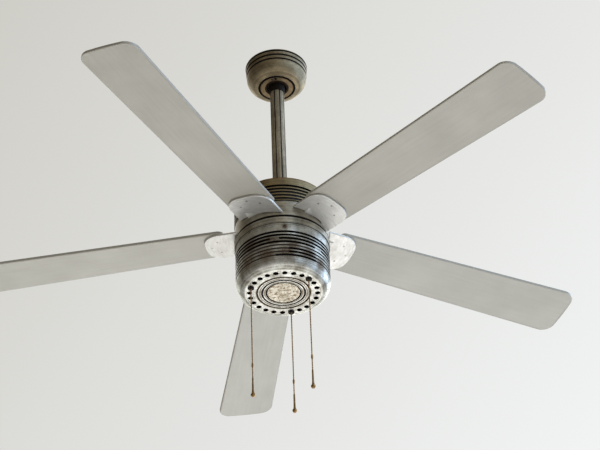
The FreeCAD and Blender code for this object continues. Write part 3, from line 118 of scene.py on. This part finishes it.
behind = add(sky, "ShaderNodeMapRange", {"Value": backwards, "From Min": 0.3, "From Max": 0.8})
far_wall = add(sky, "ShaderNodeMath", {0: level, 1: behind}, operation="MULTIPLY")
walls = add(sky, "ShaderNodeMixRGB", {"Fac": far_wall, "Color1": walls, "Color2": "#e6e9e6"})
power = add(sky, "ShaderNodeMath", {0: far_wall, 1: 1.7, 2: power}, operation="MULTIPLY_ADD")
glow = add(sky, "ShaderNodeBackground", {"Color": walls, "Strength": power})
slant = add(sky, "ShaderNodeVectorMath", {0: direction, 1: (0.8, 0.36, -0.48)}, out="Value",
            operation="DOT_PRODUCT")
fade = add(sky, "ShaderNodeMapRange", {"Value": slant, "From Min": -0.2, "From Max": 0.2})
ceiling = add(sky, "ShaderNodeMixRGB", {"Fac": fade, "Color1": "#cdcbc4", "Color2": "#f3f5f5"})
backdrop = add(sky, "ShaderNodeBackground", {"Color": ceiling, "Strength": 1.0})
straight = add(sky, "ShaderNodeLightPath", {}, out="Is Camera Ray")
room = add(sky, "ShaderNodeMixShader", {0: straight, 1: glow, 2: backdrop})
world_output = sky.nodes.new("ShaderNodeOutputWorld")
sky.links.new(room, world_output.inputs["Surface"])
bpy.context.scene.world = world

for name, spot, size, energy, tint in (("window", (3.4, 1.2, -0.8), 4.0, 120, "#b4d2ff"),
                                       ("far_floor", (0.3, 2.4, -2.6), 2.4, 30, "#fbfbff"),
                                       ("skylight", (0.0, 0.0, 3.0), 3.0, 60, "#fffaf0")):
    lamp = bpy.data.lights.new(name, "AREA")
    lamp.shape = "DISK"
    lamp.size = size
    lamp.energy = energy
    lamp.color = linear(tint)[:3]
    holder = bpy.data.objects.new(name, lamp)
    holder.visible_camera = False
    bpy.context.collection.objects.link(holder)
    aim = (Vector(FAN_MIDDLE) - Vector(spot)).to_track_quat("-Z", "Y")
    holder.matrix_world = Matrix.Translation(spot) @ aim.to_matrix().to_4x4()

# The floor glows round one bright spot for everything that it lights, and looks plain to the camera.
floor_paint = bpy.data.materials.new("pale_lit_floor")
floor_paint.use_nodes = True
floor_tree = floor_paint.node_tree
floor_shader = floor_tree.nodes["Principled BSDF"]
floor_shader.inputs["Base Color"].default_value = linear("#dcd9d2")
floor_shader.inputs["Roughness"].default_value = 0.8
floor_shader.inputs["Emission Color"].default_value = linear("#f6f1e6")
floor_shader.inputs["Emission Strength"].default_value = 0.3
floor_spot = add(floor_tree, "ShaderNodeTexCoord", {}, out="Object")
floor_away = add(floor_tree, "ShaderNodeVectorMath", {0: floor_spot, 1: FLOOR_BRIGHT_SPOT}, out="Value",
                 operation="DISTANCE")
floor_power = add(floor_tree, "ShaderNodeMapRange", {"Value": floor_away, "From Min": 3.6, "From Max": 19.0,
                                                     "To Min": 1.75, "To Max": 0.15})
floor_glow = add(floor_tree, "ShaderNodeEmission", {"Color": "#f7f8fa", "Strength": floor_power})
floor_seen = add(floor_tree, "ShaderNodeLightPath", {}, out="Is Camera Ray")
floor_both = add(floor_tree, "ShaderNodeMixShader",
                 {0: floor_seen, 1: floor_glow, 2: floor_shader.outputs["BSDF"]})
floor_tree.links.new(floor_both, floor_tree.nodes["Material Output"].inputs["Surface"])
ground = bmesh.new()
bmesh.ops.create_grid(ground, x_segments=1, y_segments=1, size=FLOOR_HALF_SIZE)
bmesh.ops.translate(ground, verts=ground.verts, vec=(0, 0, FLOOR_HEIGHT))
show("floor", ground, floor_paint)

# Ceiling plate: a pressed steel plate with two arms and a cup for the hanger ball, screwed to the box.
# Zinc plate gives it a pale grey, faintly mottled shine.
MM = 0.001


def new_finish(name):
    """A new material, its node tree and shader, and the place in the object's own frame."""
    finish = bpy.data.materials.new(name)
    finish.use_nodes = True
    tree = finish.node_tree
    return finish, tree, tree.nodes["Principled BSDF"], add(tree, "ShaderNodeTexCoord", {}, out="Object")


def mottled(name, pale, dark, metallic, roughness, grain_mm, gloss=0.5):
    """Cast, moulded or plated stock: two tones in soft grains, and a little unevenness in its shine."""
    finish, tree, shader, spot = new_finish(name)
    grain = add(tree, "ShaderNodeTexNoise", {"Vector": spot, "Scale": 1 / (grain_mm * MM), "Detail": 4.0})
    tone = add(tree, "ShaderNodeMapRange", {"Value": grain, "From Min": 0.35, "From Max": 0.65})
    skin = add(tree, "ShaderNodeMixRGB", {"Fac": tone, "Color1": dark, "Color2": pale})
    shine = add(tree, "ShaderNodeMapRange", {"Value": grain, "From Min": 0.3, "From Max": 0.7,
                                             "To Min": roughness + 0.08, "To Max": roughness - 0.05})
    bump = add(tree, "ShaderNodeBump", {"Height": grain, "Strength": 0.12, "Distance": 0.3 * MM})
    tree.links.new(skin, shader.inputs["Base Color"])
    tree.links.new(shine, shader.inputs["Roughness"])
    tree.links.new(bump, shader.inputs["Normal"])
    shader.inputs["Metallic"].default_value = metallic
    shader.inputs["Specular IOR Level"].default_value = gloss
    return finish


def dress(finish, *names):
    """Give CAD pieces their finish."""
    for name in names:
        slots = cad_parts[name].data.materials
        for index in range(len(slots)):
            slots[index] = finish


zinc_plate = mottled("zinc_plated_steel", pale="#b8b7b1", dark="#8d8b84", metallic=0.9, roughness=0.42,
                     grain_mm=9)
dress(zinc_plate, "hanger_bracket")

# Canopy and its trim ring: spun steel with a satin nickel plate that has gone brown and dull with age.
# Its three grooves, its inside and the gap at its mouth are painted black as the shade in them, with some
# grime, and so is the gap round the ring; the ring's inner lip is painted dark brown as the shade round the
# sleeve.
# The eye gets a dull olive metal with brown specks and crisp dark lines; two rusty screws hold the ring.
# Black paint that stands for the shade in grooves, gaps, slots, holes and hollows, together with the grime
# there.
BLACK_SHADE_AND_GRIME = "#120e0a"
BROWN_GRIME_AND_SHADE = "#3e352a"
# Dark brown painted shade round the hanger sleeve, on the trim ring's inner lip.
LIP_SHADE_BROWN = "#2a1e12"
PATCH_MM = 28
DRAWN_STRETCH = 0.03
RAGGED_MM = 0.9
WORN_GLOSS = 0.12
CANOPY_GROOVES = (-4.2, -14.4, -24.6)
HALF_GROOVE = 2.1


def turned_plate(name, pale, dull, speck, metallic, roughness, line_mm, speck_mm, speck_from, recesses,
                 stains=(), hollow=None, drawn=False):
    """Turned and plated metal: rings from the lathe, dull patches, brown specks, and paint in the recesses
    that stands for their shade and grime.

    The lathe's lines are drawn a few millimetres wide, because real ones are too fine to show from here.
    A recess is the space between two radii and two heights, in millimetres, painted its own tone, black or
    brown as the shade in it and its grime, and maybe the angle where it starts and how far it runs, in
    degrees. A stain is a brown halo round a point.
    hollow is the middle and radius, in the profile, of a round inside corner, which is painted black as the
    shade in it. Drawn stock has its lines along its length, not round it.
    """
    finish, tree, shader, spot = new_finish(name)
    level = add(tree, "ShaderNodeVectorMath", {0: spot, 1: (1, 1, 0)}, operation="MULTIPLY")
    radius = add(tree, "ShaderNodeVectorMath", {0: level}, out="Value", operation="LENGTH")
    height = add(tree, "ShaderNodeSeparateXYZ", {"Vector": spot}, out="Z")
    ring = add(tree, "ShaderNodeCombineXYZ", {"X": radius, "Z": height})
    lengthways = add(tree, "ShaderNodeVectorMath", {0: spot, 1: (1, 1, DRAWN_STRETCH)}, operation="MULTIPLY")
    lines = add(tree, "ShaderNodeTexNoise", {"Vector": lengthways if drawn else ring,
                                             "Scale": 1 / (line_mm * MM), "Detail": 3.0, "Roughness": 0.7})
    patch = add(tree, "ShaderNodeTexNoise", {"Vector": spot, "Scale": 1 / (PATCH_MM * MM), "Detail": 5.0,
                                             "Roughness": 0.65})
    both = add(tree, "ShaderNodeMath", {0: lines, 1: patch}, operation="ADD")
    tone = add(tree, "ShaderNodeMapRange", {"Value": both, "From Min": 0.78, "From Max": 1.22})
    skin = add(tree, "ShaderNodeMixRGB", {"Fac": tone, "Color1": dull, "Color2": pale})
    grit = add(tree, "ShaderNodeTexNoise", {"Vector": spot, "Scale": 1 / (speck_mm * MM), "Detail": 7.0,
                                            "Roughness": 0.8})
    dirt = add(tree, "ShaderNodeMapRange", {"Value": grit, "From Min": speck_from,
                                            "From Max": speck_from + 0.1})
    for point, reach_mm in stains:
        away = add(tree, "ShaderNodeVectorMath", {0: spot, 1: point}, out="Value", operation="DISTANCE")
        halo = add(tree, "ShaderNodeMapRange", {"Value": away, "From Min": reach_mm * MM,
                                                "From Max": reach_mm * MM * 0.3})
        patchy = add(tree, "ShaderNodeMath", {0: halo, 1: grit}, operation="MULTIPLY")
        strong = add(tree, "ShaderNodeMath", {0: patchy, 1: 1.7}, operation="MULTIPLY", use_clamp=True)
        dirt = add(tree, "ShaderNodeMath", {0: dirt, 1: strong}, operation="MAXIMUM")
    skin = add(tree, "ShaderNodeMixRGB", {"Fac": dirt, "Color1": skin, "Color2": speck})
    ragged = add(tree, "ShaderNodeMath", {0: grit, 1: RAGGED_MM * MM, 2: -RAGGED_MM / 2 * MM},
                 operation="MULTIPLY_ADD")
    edge = add(tree, "ShaderNodeMath", {0: radius, 1: ragged}, operation="ADD")
    shade_and_grime = 0.0
    # A round inside corner is painted black as the shade in it.
    if hollow:
        middle_radius, middle_height, hollow_radius = hollow
        depth = add(tree, "ShaderNodeVectorMath", {0: ring, 1: (middle_radius * MM, 0, middle_height * MM)},
                    out="Value", operation="DISTANCE")
        shade_and_grime = add(tree, "ShaderNodeMath", {0: depth, 1: hollow_radius * MM}, operation="LESS_THAN")
        skin = add(tree, "ShaderNodeMixRGB", {"Fac": shade_and_grime, "Color1": skin, "Color2": BLACK_SHADE_AND_GRIME})
    bearing = add(tree, "ShaderNodeMath", {0: height.node.outputs["Y"], 1: height.node.outputs["X"]},
                  operation="ARCTAN2")
    # Each recess is painted its own tone, mostly black or brown that stands for the shade in it, with grime.
    for inner, outer, low, high, grime, *arc in recesses:
        within = add(tree, "ShaderNodeMath",
                     {0: edge, 1: (inner + outer) / 2 * MM, 2: (outer - inner) / 2 * MM}, operation="COMPARE")
        beside = add(tree, "ShaderNodeMath",
                     {0: height, 1: (low + high) / 2 * MM, 2: (high - low) / 2 * MM}, operation="COMPARE")
        inside = add(tree, "ShaderNodeMath", {0: within, 1: beside}, operation="MULTIPLY")
        if arc:
            start, run = arc
            turned = add(tree, "ShaderNodeMath", {0: bearing, 1: math.radians(start + run / 2)},
                         operation="SUBTRACT")
            swing = add(tree, "ShaderNodeMath", {0: turned, 1: math.pi, 2: -math.pi}, operation="WRAP")
            in_run = add(tree, "ShaderNodeMath", {0: swing, 1: 0.0, 2: math.radians(run / 2)},
                         operation="COMPARE")
            inside = add(tree, "ShaderNodeMath", {0: inside, 1: in_run}, operation="MULTIPLY")
        skin = add(tree, "ShaderNodeMixRGB", {"Fac": inside, "Color1": skin, "Color2": grime})
        shade_and_grime = add(tree, "ShaderNodeMath", {0: inside, 1: shade_and_grime}, operation="MAXIMUM")
    dull_spots = add(tree, "ShaderNodeMath", {0: dirt, 1: shade_and_grime}, operation="MAXIMUM")
    bare = add(tree, "ShaderNodeMath", {0: dull_spots, 1: -0.85 * metallic, 2: metallic},
               operation="MULTIPLY_ADD")
    shine = add(tree, "ShaderNodeMapRange", {"Value": both, "From Min": 0.7, "From Max": 1.3,
                                             "To Min": roughness + 0.1, "To Max": roughness - 0.06})
    rough = add(tree, "ShaderNodeMath", {0: dull_spots, 1: 0.35, 2: shine}, operation="MULTIPLY_ADD")
    bump = add(tree, "ShaderNodeBump", {"Height": lines, "Strength": 0.2, "Distance": 0.15 * MM})
    tree.links.new(skin, shader.inputs["Base Color"])
    shader.inputs["Specular IOR Level"].default_value = WORN_GLOSS
    tree.links.new(bare, shader.inputs["Metallic"])
    tree.links.new(rough, shader.inputs["Roughness"])
    tree.links.new(bump, shader.inputs["Normal"])
    return finish


# Painted shade: the grooves, the canopy's inside and its mouth over the trim ring are black.
canopy_grooves = [(0, 70, drop - HALF_GROOVE, drop + HALF_GROOVE, BLACK_SHADE_AND_GRIME) for drop in CANOPY_GROOVES]
canopy_inside = (0, 62, -27, 0, BLACK_SHADE_AND_GRIME)
canopy_mouth = (0, 39.6, -55, -45, BLACK_SHADE_AND_GRIME)
canopy_nickel = turned_plate("aged_satin_nickel", pale="#8f8165", dull="#665a45", speck="#382a1a",
                             metallic=0.82, roughness=0.46, line_mm=2.0, speck_mm=2.4, speck_from=0.55,
                             recesses=canopy_grooves + [canopy_inside, canopy_mouth])
dress(canopy_nickel, "canopy")
# Painted shade: the gap round the trim ring is black, and its inner lip is dark brown round the sleeve.
ring_gap = (34.6, 38, -60, -40, BLACK_SHADE_AND_GRIME)
ring_lip_shade = (0, 25.2, -60, -40, LIP_SHADE_BROWN)
ring_nickel = turned_plate("aged_satin_nickel_ring", pale="#8a7656", dull="#5b4b36", speck="#3f2e1c",
                           metallic=0.6, roughness=0.5, line_mm=1.8, speck_mm=4, speck_from=0.58,
                           recesses=[ring_gap, ring_lip_shade])
dress(ring_nickel, "canopy_trim_ring")
plain_steel = mottled("plain_machined_steel", pale="#a19e98", dark="#787570", metallic=0.95, roughness=0.35,
                      grain_mm=6)
rusty_steel = mottled("rusted_steel", pale="#5e4730", dark="#2e2117", metallic=0.35, roughness=0.65,
                      grain_mm=1.5)
dress(rusty_steel, "canopy_screws")

# Hanger ball and downrod: the ball and its ribbed sleeve are moulded in black nylon and sit on a steel pin.
# The rod is drawn steel tube with eight flutes, plated like the canopy; the flutes are painted black as their
# shade, with dirt, so they read as black stripes.
# A black iron yoke takes the rod's lower end, and is held by a pin and two plain steel screws.
black_nylon = mottled("black_moulded_nylon", pale="#1e160e", dark="#0e0a06", metallic=0.0, roughness=0.6,
                      grain_mm=4, gloss=0.12)
dress(black_nylon, "hanger_ball")
# Painted shade: the flutes are black, as the shade in them, with dirt.
rod_flutes = (9, 14.62, -351, -50, BLACK_SHADE_AND_GRIME)
rod_nickel = turned_plate("aged_satin_nickel_tube", pale="#9c9079", dull="#786c56", speck="#44331e",
                          metallic=0.42, roughness=0.64, line_mm=3.0, speck_mm=3, speck_from=0.54,
                          recesses=[rod_flutes], drawn=True)
dress(rod_nickel, "downrod")
dress(plain_steel, "ball_pin", "rod_pin", "yoke_screws")
cast_iron = mottled("black_cast_iron", pale="#35322e", dark="#201e1c", metallic=0.3, roughness=0.6,
                    grain_mm=5)
dress(cast_iron, "yoke")

# Upper drum: spun steel cover with a neck round the rod, five rows of vent slots and a satin nickel plate.
# Its top edge has browned, and its inside, its slot rows and a band round each row are painted black as their
# shade, with dust, so it reads as dark rings on olive metal.
BROWN_EDGE = "#664622"
UPPER_EDGE = -373.0
HALF_EDGE = 1.6
UPPER_ROWS = (3.9, 11.9, 19.9, 27.9, 35.9)
HALF_SLOT = 2.6
BEYOND_DRUMS = 99
upper_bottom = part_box("upper_housing")[0][2] / MM
# Painted shade: the inside and each row of slots, with a band of the outside round it, are black.
upper_inside = (0, 94.4, upper_bottom, upper_bottom + 40, BLACK_SHADE_AND_GRIME)
upper_rim = (92, BEYOND_DRUMS, UPPER_EDGE - HALF_EDGE, UPPER_EDGE + HALF_EDGE, BROWN_EDGE)
upper_slots = [(0, BEYOND_DRUMS, upper_bottom + row - HALF_SLOT, upper_bottom + row + HALF_SLOT, BLACK_SHADE_AND_GRIME)
               for row in UPPER_ROWS]
upper_nickel = turned_plate("satin_nickel_upper", pale="#877858", dull="#5f523b", speck="#3c2d1b",
                            metallic=0.85, roughness=0.4, line_mm=2.4, speck_mm=3, speck_from=0.57,
                            recesses=[upper_inside, upper_rim] + upper_slots)
dress(upper_nickel, "upper_housing")
dress(plain_steel, "upper_housing_screws")

# Motor: sheet steel stator on a fixed hollow shaft, copper coils, a rotor ring between cast aluminium bells.
# It is hidden in the drums, apart from what shows through the slots, which is painted dark as the shade
# inside.
dress(plain_steel, "motor_shaft", "shaft_spacer", "shaft_nut")
for end in ("upper", "lower"):
    dress(plain_steel, f"{end}_bearing_inner", f"{end}_bearing_outer", f"{end}_bearing_balls")
lamination = mottled("lamination_steel", pale="#48484a", dark="#323234", metallic=0.7, roughness=0.5,
                     grain_mm=3)
dress(lamination, "stator_core", "rotor_ring")
copper = mottled("enamelled_copper_wire", pale="#a4552a", dark="#74361a", metallic=0.9, roughness=0.35,
                 grain_mm=2)
dress(copper, "stator_windings")
# Painted shade: the bells are a dark grey, as they sit in the dark inside the drums.
shade_dark_aluminium = mottled("shade_dark_cast_aluminium", pale="#4a4744", dark="#312f2c", metallic=0.4,
                          roughness=0.65, grain_mm=5)
dress(shade_dark_aluminium, "upper_bell", "lower_bell")

# Hub ring and blade irons: cast aluminium with a pale satin nickel plate, ground along its faces.
# The irons twist from a level tongue in the hub to a broad leaning plate under each blade.
# The hub is dull, black inside and with a black line under it, both painted shade; the irons are the palest
# metal, with few specks.
BLADE_NUMBERS = range(1, 6)
hub_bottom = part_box("hub_ring")[0][2] / MM
# Painted shade: black inside the hub, and a black shadow line round its foot.
hub_inside = (0, 93.2, hub_bottom - 1, hub_bottom + 60, BLACK_SHADE_AND_GRIME)
hub_foot_shadow = (0, BEYOND_DRUMS, hub_bottom - 1, hub_bottom + 1.7, BLACK_SHADE_AND_GRIME)
hub_nickel = turned_plate("satin_nickel_hub", pale="#a29b8a", dull="#6b6355", speck="#57472f", metallic=0.8,
                          roughness=0.4, line_mm=2.4, speck_mm=6, speck_from=0.62,
                          recesses=[hub_inside, hub_foot_shadow])
dress(hub_nickel, "hub_ring")
iron_nickel = turned_plate("pale_satin_nickel", pale="#cac8c1", dull="#b5b2a9", speck="#7b6850", metallic=0.7,
                           roughness=0.44, line_mm=3.4, speck_mm=7, speck_from=0.64, recesses=[])
dress(iron_nickel, *[f"blade_iron_{number}" for number in BLADE_NUMBERS])
dress(plain_steel, "iron_screws")

# Blades: flat tapered boards lacquered white, screwed down on the irons.
# The lacquer has greyed, with faint grain along the board and a soft band of dust along its edges.
# The grain is drawn 6 mm wide, because finer grain doesn't show from the floor.
FIRST_BLADE = math.radians(26.4)
HALF_STEP = math.pi / 5
BLADE_ROOT = 112 * MM
BLADE_BROAD = 634 * MM
BLADE_TIP = 660 * MM
ROOT_HALF_WIDTH = 49 * MM
BROAD_HALF_WIDTH = 60 * MM
BOARD_STRETCH = 0.06
GRAIN_MM = 6
CLOUD_MM = 110
white_lacquer, tree, shader, spot = new_finish("white_lacquered_board")
outwards = add(tree, "ShaderNodeVectorMath", {0: spot, 1: (1, 1, 0)}, operation="MULTIPLY")
reach = add(tree, "ShaderNodeVectorMath", {0: outwards}, out="Value", operation="LENGTH")
east = add(tree, "ShaderNodeSeparateXYZ", {"Vector": spot}, out="X")
bearing = add(tree, "ShaderNodeMath", {0: east.node.outputs["Y"], 1: east}, operation="ARCTAN2")
turned = add(tree, "ShaderNodeMath", {0: bearing, 1: FIRST_BLADE}, operation="SUBTRACT")
folded = add(tree, "ShaderNodeMath", {0: turned, 1: HALF_STEP, 2: -HALF_STEP}, operation="WRAP")
cosine = add(tree, "ShaderNodeMath", {0: folded}, operation="COSINE")
sine = add(tree, "ShaderNodeMath", {0: folded}, operation="SINE")
along = add(tree, "ShaderNodeMath", {0: reach, 1: cosine}, operation="MULTIPLY")
across = add(tree, "ShaderNodeMath", {0: reach, 1: sine}, operation="MULTIPLY")
off_middle = add(tree, "ShaderNodeMath", {0: across}, operation="ABSOLUTE")
half_width = add(tree, "ShaderNodeMapRange", {"Value": along, "From Min": BLADE_ROOT, "From Max": BLADE_BROAD,
                                              "To Min": ROOT_HALF_WIDTH, "To Max": BROAD_HALF_WIDTH})
from_side = add(tree, "ShaderNodeMath", {0: half_width, 1: off_middle}, operation="SUBTRACT")
from_tip = add(tree, "ShaderNodeMath", {0: BLADE_TIP, 1: along}, operation="SUBTRACT")
from_edge = add(tree, "ShaderNodeMath", {0: from_side, 1: from_tip}, operation="MINIMUM")
stretched = add(tree, "ShaderNodeCombineXYZ", {"X": along, "Y": across})
lengthways = add(tree, "ShaderNodeVectorMath", {0: stretched, 1: (BOARD_STRETCH, 1, 1)}, operation="MULTIPLY")
grain = add(tree, "ShaderNodeTexNoise", {"Vector": lengthways, "Scale": 1 / (GRAIN_MM * MM), "Detail": 4.0})
clouds = add(tree, "ShaderNodeTexNoise", {"Vector": spot, "Scale": 1 / (CLOUD_MM * MM), "Detail": 5.0})
shade = add(tree, "ShaderNodeMath", {0: grain, 1: 0.45, 2: clouds}, operation="MULTIPLY_ADD")
tone = add(tree, "ShaderNodeMapRange", {"Value": shade, "From Min": 0.5, "From Max": 0.95})
skin = add(tree, "ShaderNodeMixRGB", {"Fac": tone, "Color1": "#959184", "Color2": "#a39f92"})
ragged = add(tree, "ShaderNodeMath", {0: clouds, 1: 14 * MM, 2: -3 * MM}, operation="MULTIPLY_ADD")
dusty = add(tree, "ShaderNodeMapRange", {"Value": from_edge, "From Min": ragged, "From Max": 0.0,
                                         "To Max": 0.7})
skin = add(tree, "ShaderNodeMixRGB", {"Fac": dusty, "Color1": skin, "Color2": "#7d7566"})
shine = add(tree, "ShaderNodeMath", {0: dusty, 1: 0.3, 2: 0.46}, operation="MULTIPLY_ADD")
bump = add(tree, "ShaderNodeBump", {"Height": grain, "Strength": 0.1, "Distance": 0.2 * MM})
tree.links.new(skin, shader.inputs["Base Color"])
tree.links.new(shine, shader.inputs["Roughness"])
tree.links.new(bump, shader.inputs["Normal"])
dress(white_lacquer, *[f"blade_{number}" for number in BLADE_NUMBERS])
dress(plain_steel, "blade_screws")

# Switch plate and lower drum: a steel band over a spun drum with rows of slots and a vented, ringed floor.
# Bright satin nickel plate, with brown stains low on the drum and round a screw. The slots, vents, inside,
# inner corner and deepest floor rings are painted black as the shade in them, with some grime, the grooves
# brown for grime and their shade, and the other floor rings in two browns. The cap in the middle of the floor
# is pale, with brown specks.
PALE_RING_BROWN = "#8f8069"
DARK_RING_BROWN = "#3f2f1c"
SCREW_ANGLE = math.radians(274)
drum_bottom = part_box("switch_housing")[0][2] / MM
# The grooves are painted brown for grime and the shade in them, all round low down and over the back half
# higher up.
drum_grooves = [(0, 93.5, drum_bottom + 22.3, drum_bottom + 54, BROWN_GRIME_AND_SHADE),
                (0, 93.5, drum_bottom + 54, drum_bottom + 90, BROWN_GRIME_AND_SHADE, 0, 183)]
# Painted shade: the drum's inside and the walls of its floor vents are black.
drum_inside = (0, 92.5, drum_bottom + 22, drum_bottom + 120, BLACK_SHADE_AND_GRIME)
drum_vents = (0, 73.2, drum_bottom + 0.15, drum_bottom + 30, BLACK_SHADE_AND_GRIME)
# Each slot's height over the floor, the angle where it starts and how far it runs
slot_places = [(81.0, 183.5, 169), (73.0, 187.5, 169), (64.9, 155, 100.5), (64.9, 266.5, 120),
               (56.8, 155, 158.5), (56.8, 324.5, 62), (40.7, 278, 36), (32.7, 278, 36), (24.6, 262, 52),
               (40.7, 158, 36), (32.7, 158, 36), (24.6, 158, 36)]
# Each slot, with a band of the outside round it, is painted black as the shade in it.
drum_slots = [(0, BEYOND_DRUMS, drum_bottom + row - HALF_SLOT, drum_bottom + row + HALF_SLOT, BLACK_SHADE_AND_GRIME,
               start, run) for row, start, run in slot_places]
# The floor's ring grooves are painted in two browns, and its two deepest rings black as shade.
ring_places = [(50.4, 54.2, DARK_RING_BROWN), (46.1, 48.2, PALE_RING_BROWN), (40.5, 44.3, BLACK_SHADE_AND_GRIME),
               (36.1, 38.2, PALE_RING_BROWN), (31.6, 35.4, BLACK_SHADE_AND_GRIME)]
floor_rings = [(inner, outer, drum_bottom - 1, drum_bottom + 2, grime) for inner, outer, grime in ring_places]
# The round inside corner of the drum is painted black as shade.
shaded_corner = (72, drum_bottom + 22, 21)
rusty_screw = (0.094 * math.cos(SCREW_ANGLE), 0.094 * math.sin(SCREW_ANGLE), -0.4945)
drum_stains = [(rusty_screw, 9), ((-0.019, -0.092, -0.527), 24), ((0.022, -0.091, -0.541), 24),
               ((-0.062, -0.071, -0.520), 28), ((-0.066, -0.066, -0.556), 32), ((-0.032, -0.088, -0.556), 32),
               ((0.008, -0.093, -0.557), 30), ((0.050, -0.079, -0.555), 26), ((0.074, -0.058, -0.566), 20)]
drum_nickel = turned_plate("satin_nickel_drum", pale="#cccbc1", dull="#6a6557", speck="#57452f",
                           metallic=0.84, roughness=0.36, line_mm=2.2, speck_mm=3.6, speck_from=0.55,
                           recesses=drum_grooves + [drum_inside, drum_vents] + drum_slots + floor_rings,
                           stains=drum_stains, hollow=shaded_corner)
dress(drum_nickel, "switch_housing")
band_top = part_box("switch_plate")[1][2] / MM
# Painted shade: a black line at the top of the band, where it meets the hub, and black inside it.
band_gap = (0, BEYOND_DRUMS, band_top - 2.0, band_top + 1, BLACK_SHADE_AND_GRIME)
band_inside = (0, 95, band_top - 60, band_top + 1, BLACK_SHADE_AND_GRIME)
band_nickel = turned_plate("satin_nickel_band", pale="#a8a190", dull="#676052", speck="#57472f", metallic=0.8,
                           roughness=0.4, line_mm=2.4, speck_mm=6, speck_from=0.6,
                           recesses=[band_gap, band_inside])
dress(band_nickel, "switch_plate")
# The inside of the cap is painted black as shade.
cap_inside = (0, 40, drum_bottom + 0.5, drum_bottom + 12, BLACK_SHADE_AND_GRIME)
cap_nickel = turned_plate("speckled_nickel_cap", pale="#c4bfae", dull="#988f7a", speck="#765a33",
                          metallic=0.75, roughness=0.42, line_mm=5.0, speck_mm=6, speck_from=0.49,
                          recesses=[cap_inside])
dress(cap_nickel, "centre_cap")
dress(rusty_steel, "housing_screws")

# Pull switches and capacitor: moulded black plastic boxes on the drum's floor.
# Each switch passes a brass bush through a vent hole and is held by a thin nut, both painted near black and
# dull, as the shade in the vent holes.
dress(black_nylon, "capacitor", "pull_switch_right", "pull_switch_middle", "pull_switch_left")
shade_black_brass = mottled("shade_black_brass", pale="#1c1712", dark="#0e0b08", metallic=0.1, roughness=0.6,
                          grain_mm=2, gloss=0.15)
dress(shade_black_brass, "switch_bushes", "switch_nuts")

# Pull chains: hollow brass beads on short brass links, which hang plumb from inside the switches, with
# enough chain up there to stay in the bush when it is drawn. A connector joins the long run to a short
# one, and a slender turned fob with a ball end hangs from that. The brass is brown and half dull.
BEAD_DIAMETER = 3.2 * MM
BEAD_PITCH = 3.8 * MM
BEAD_SIDES = 10
BEAD_RINGS = 6
LINK_DIAMETER = 1.4 * MM
LINK_SIDES = 6
ROUTE_SHARES = (0, 0.3, 0.7, 1)
aged_brass = mottled("aged_brass", pale="#a07c48", dark="#5c4526", metallic=0.75, roughness=0.4, grain_mm=2.5)


def smooth_line(points):
    """Points along the smooth line that a cord takes through its route."""
    curve = bpy.data.curves.new("route", "CURVE")
    curve.dimensions = "3D"
    spline = curve.splines.new("NURBS")
    spline.points.add(len(points) - 1)
    for knot, point in zip(spline.points, points):
        knot.co = (*point, 1)
    spline.order_u = 3
    spline.use_endpoint_u = True
    carrier = bpy.data.objects.new("route", curve)
    line = bpy.data.meshes.new_from_object(carrier)
    places = [vertex.co.copy() for vertex in line.vertices]
    bpy.data.objects.remove(carrier)
    bpy.data.meshes.remove(line)
    return places


def point_along(places, distance):
    """The point at a distance from the first place, along the line."""
    for start, stop in zip(places, places[1:]):
        step = (stop - start).length
        if distance <= step:
            return start.lerp(stop, distance / step)
        distance -= step
    return places[-1]


for hand in ("right", "middle", "left"):
    low, high = [Vector(corner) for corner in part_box(f"pull_chain_{hand}")]
    middle = (low + high) / 2
    top = Vector((middle.x, middle.y, high.z))
    end = Vector((middle.x, middle.y, low.z))
    line = smooth_line([end.lerp(top, share) for share in ROUTE_SHARES])
    length = sum((stop - start).length for start, stop in zip(line, line[1:]))
    bead_count = int((length - BEAD_DIAMETER / 2) / BEAD_PITCH) + 1
    spots = [point_along(line, BEAD_DIAMETER / 2 + BEAD_PITCH * bead) for bead in range(bead_count)]
    chain = bmesh.new()
    for spot in spots:
        bmesh.ops.create_uvsphere(chain, u_segments=BEAD_SIDES, v_segments=BEAD_RINGS,
                                  radius=BEAD_DIAMETER / 2, matrix=Matrix.Translation(spot))
    for start, stop in zip(spots, spots[1:] + [top]):
        turn = (stop - start).to_track_quat("Z", "Y").to_matrix().to_4x4()
        bmesh.ops.create_cone(chain, cap_ends=True, segments=LINK_SIDES, radius1=LINK_DIAMETER / 2,
                              radius2=LINK_DIAMETER / 2, depth=(stop - start).length,
                              matrix=Matrix.Translation((start + stop) / 2) @ turn)
    for face in chain.faces:
        face.smooth = True
    piece = show(f"ball_chain_{hand}", chain, aged_brass)
    dress(aged_brass, f"chain_connector_{hand}", f"pull_fob_{hand}")
    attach(piece, f"pull_{hand}")
    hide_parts(f"pull_chain_{hand}")
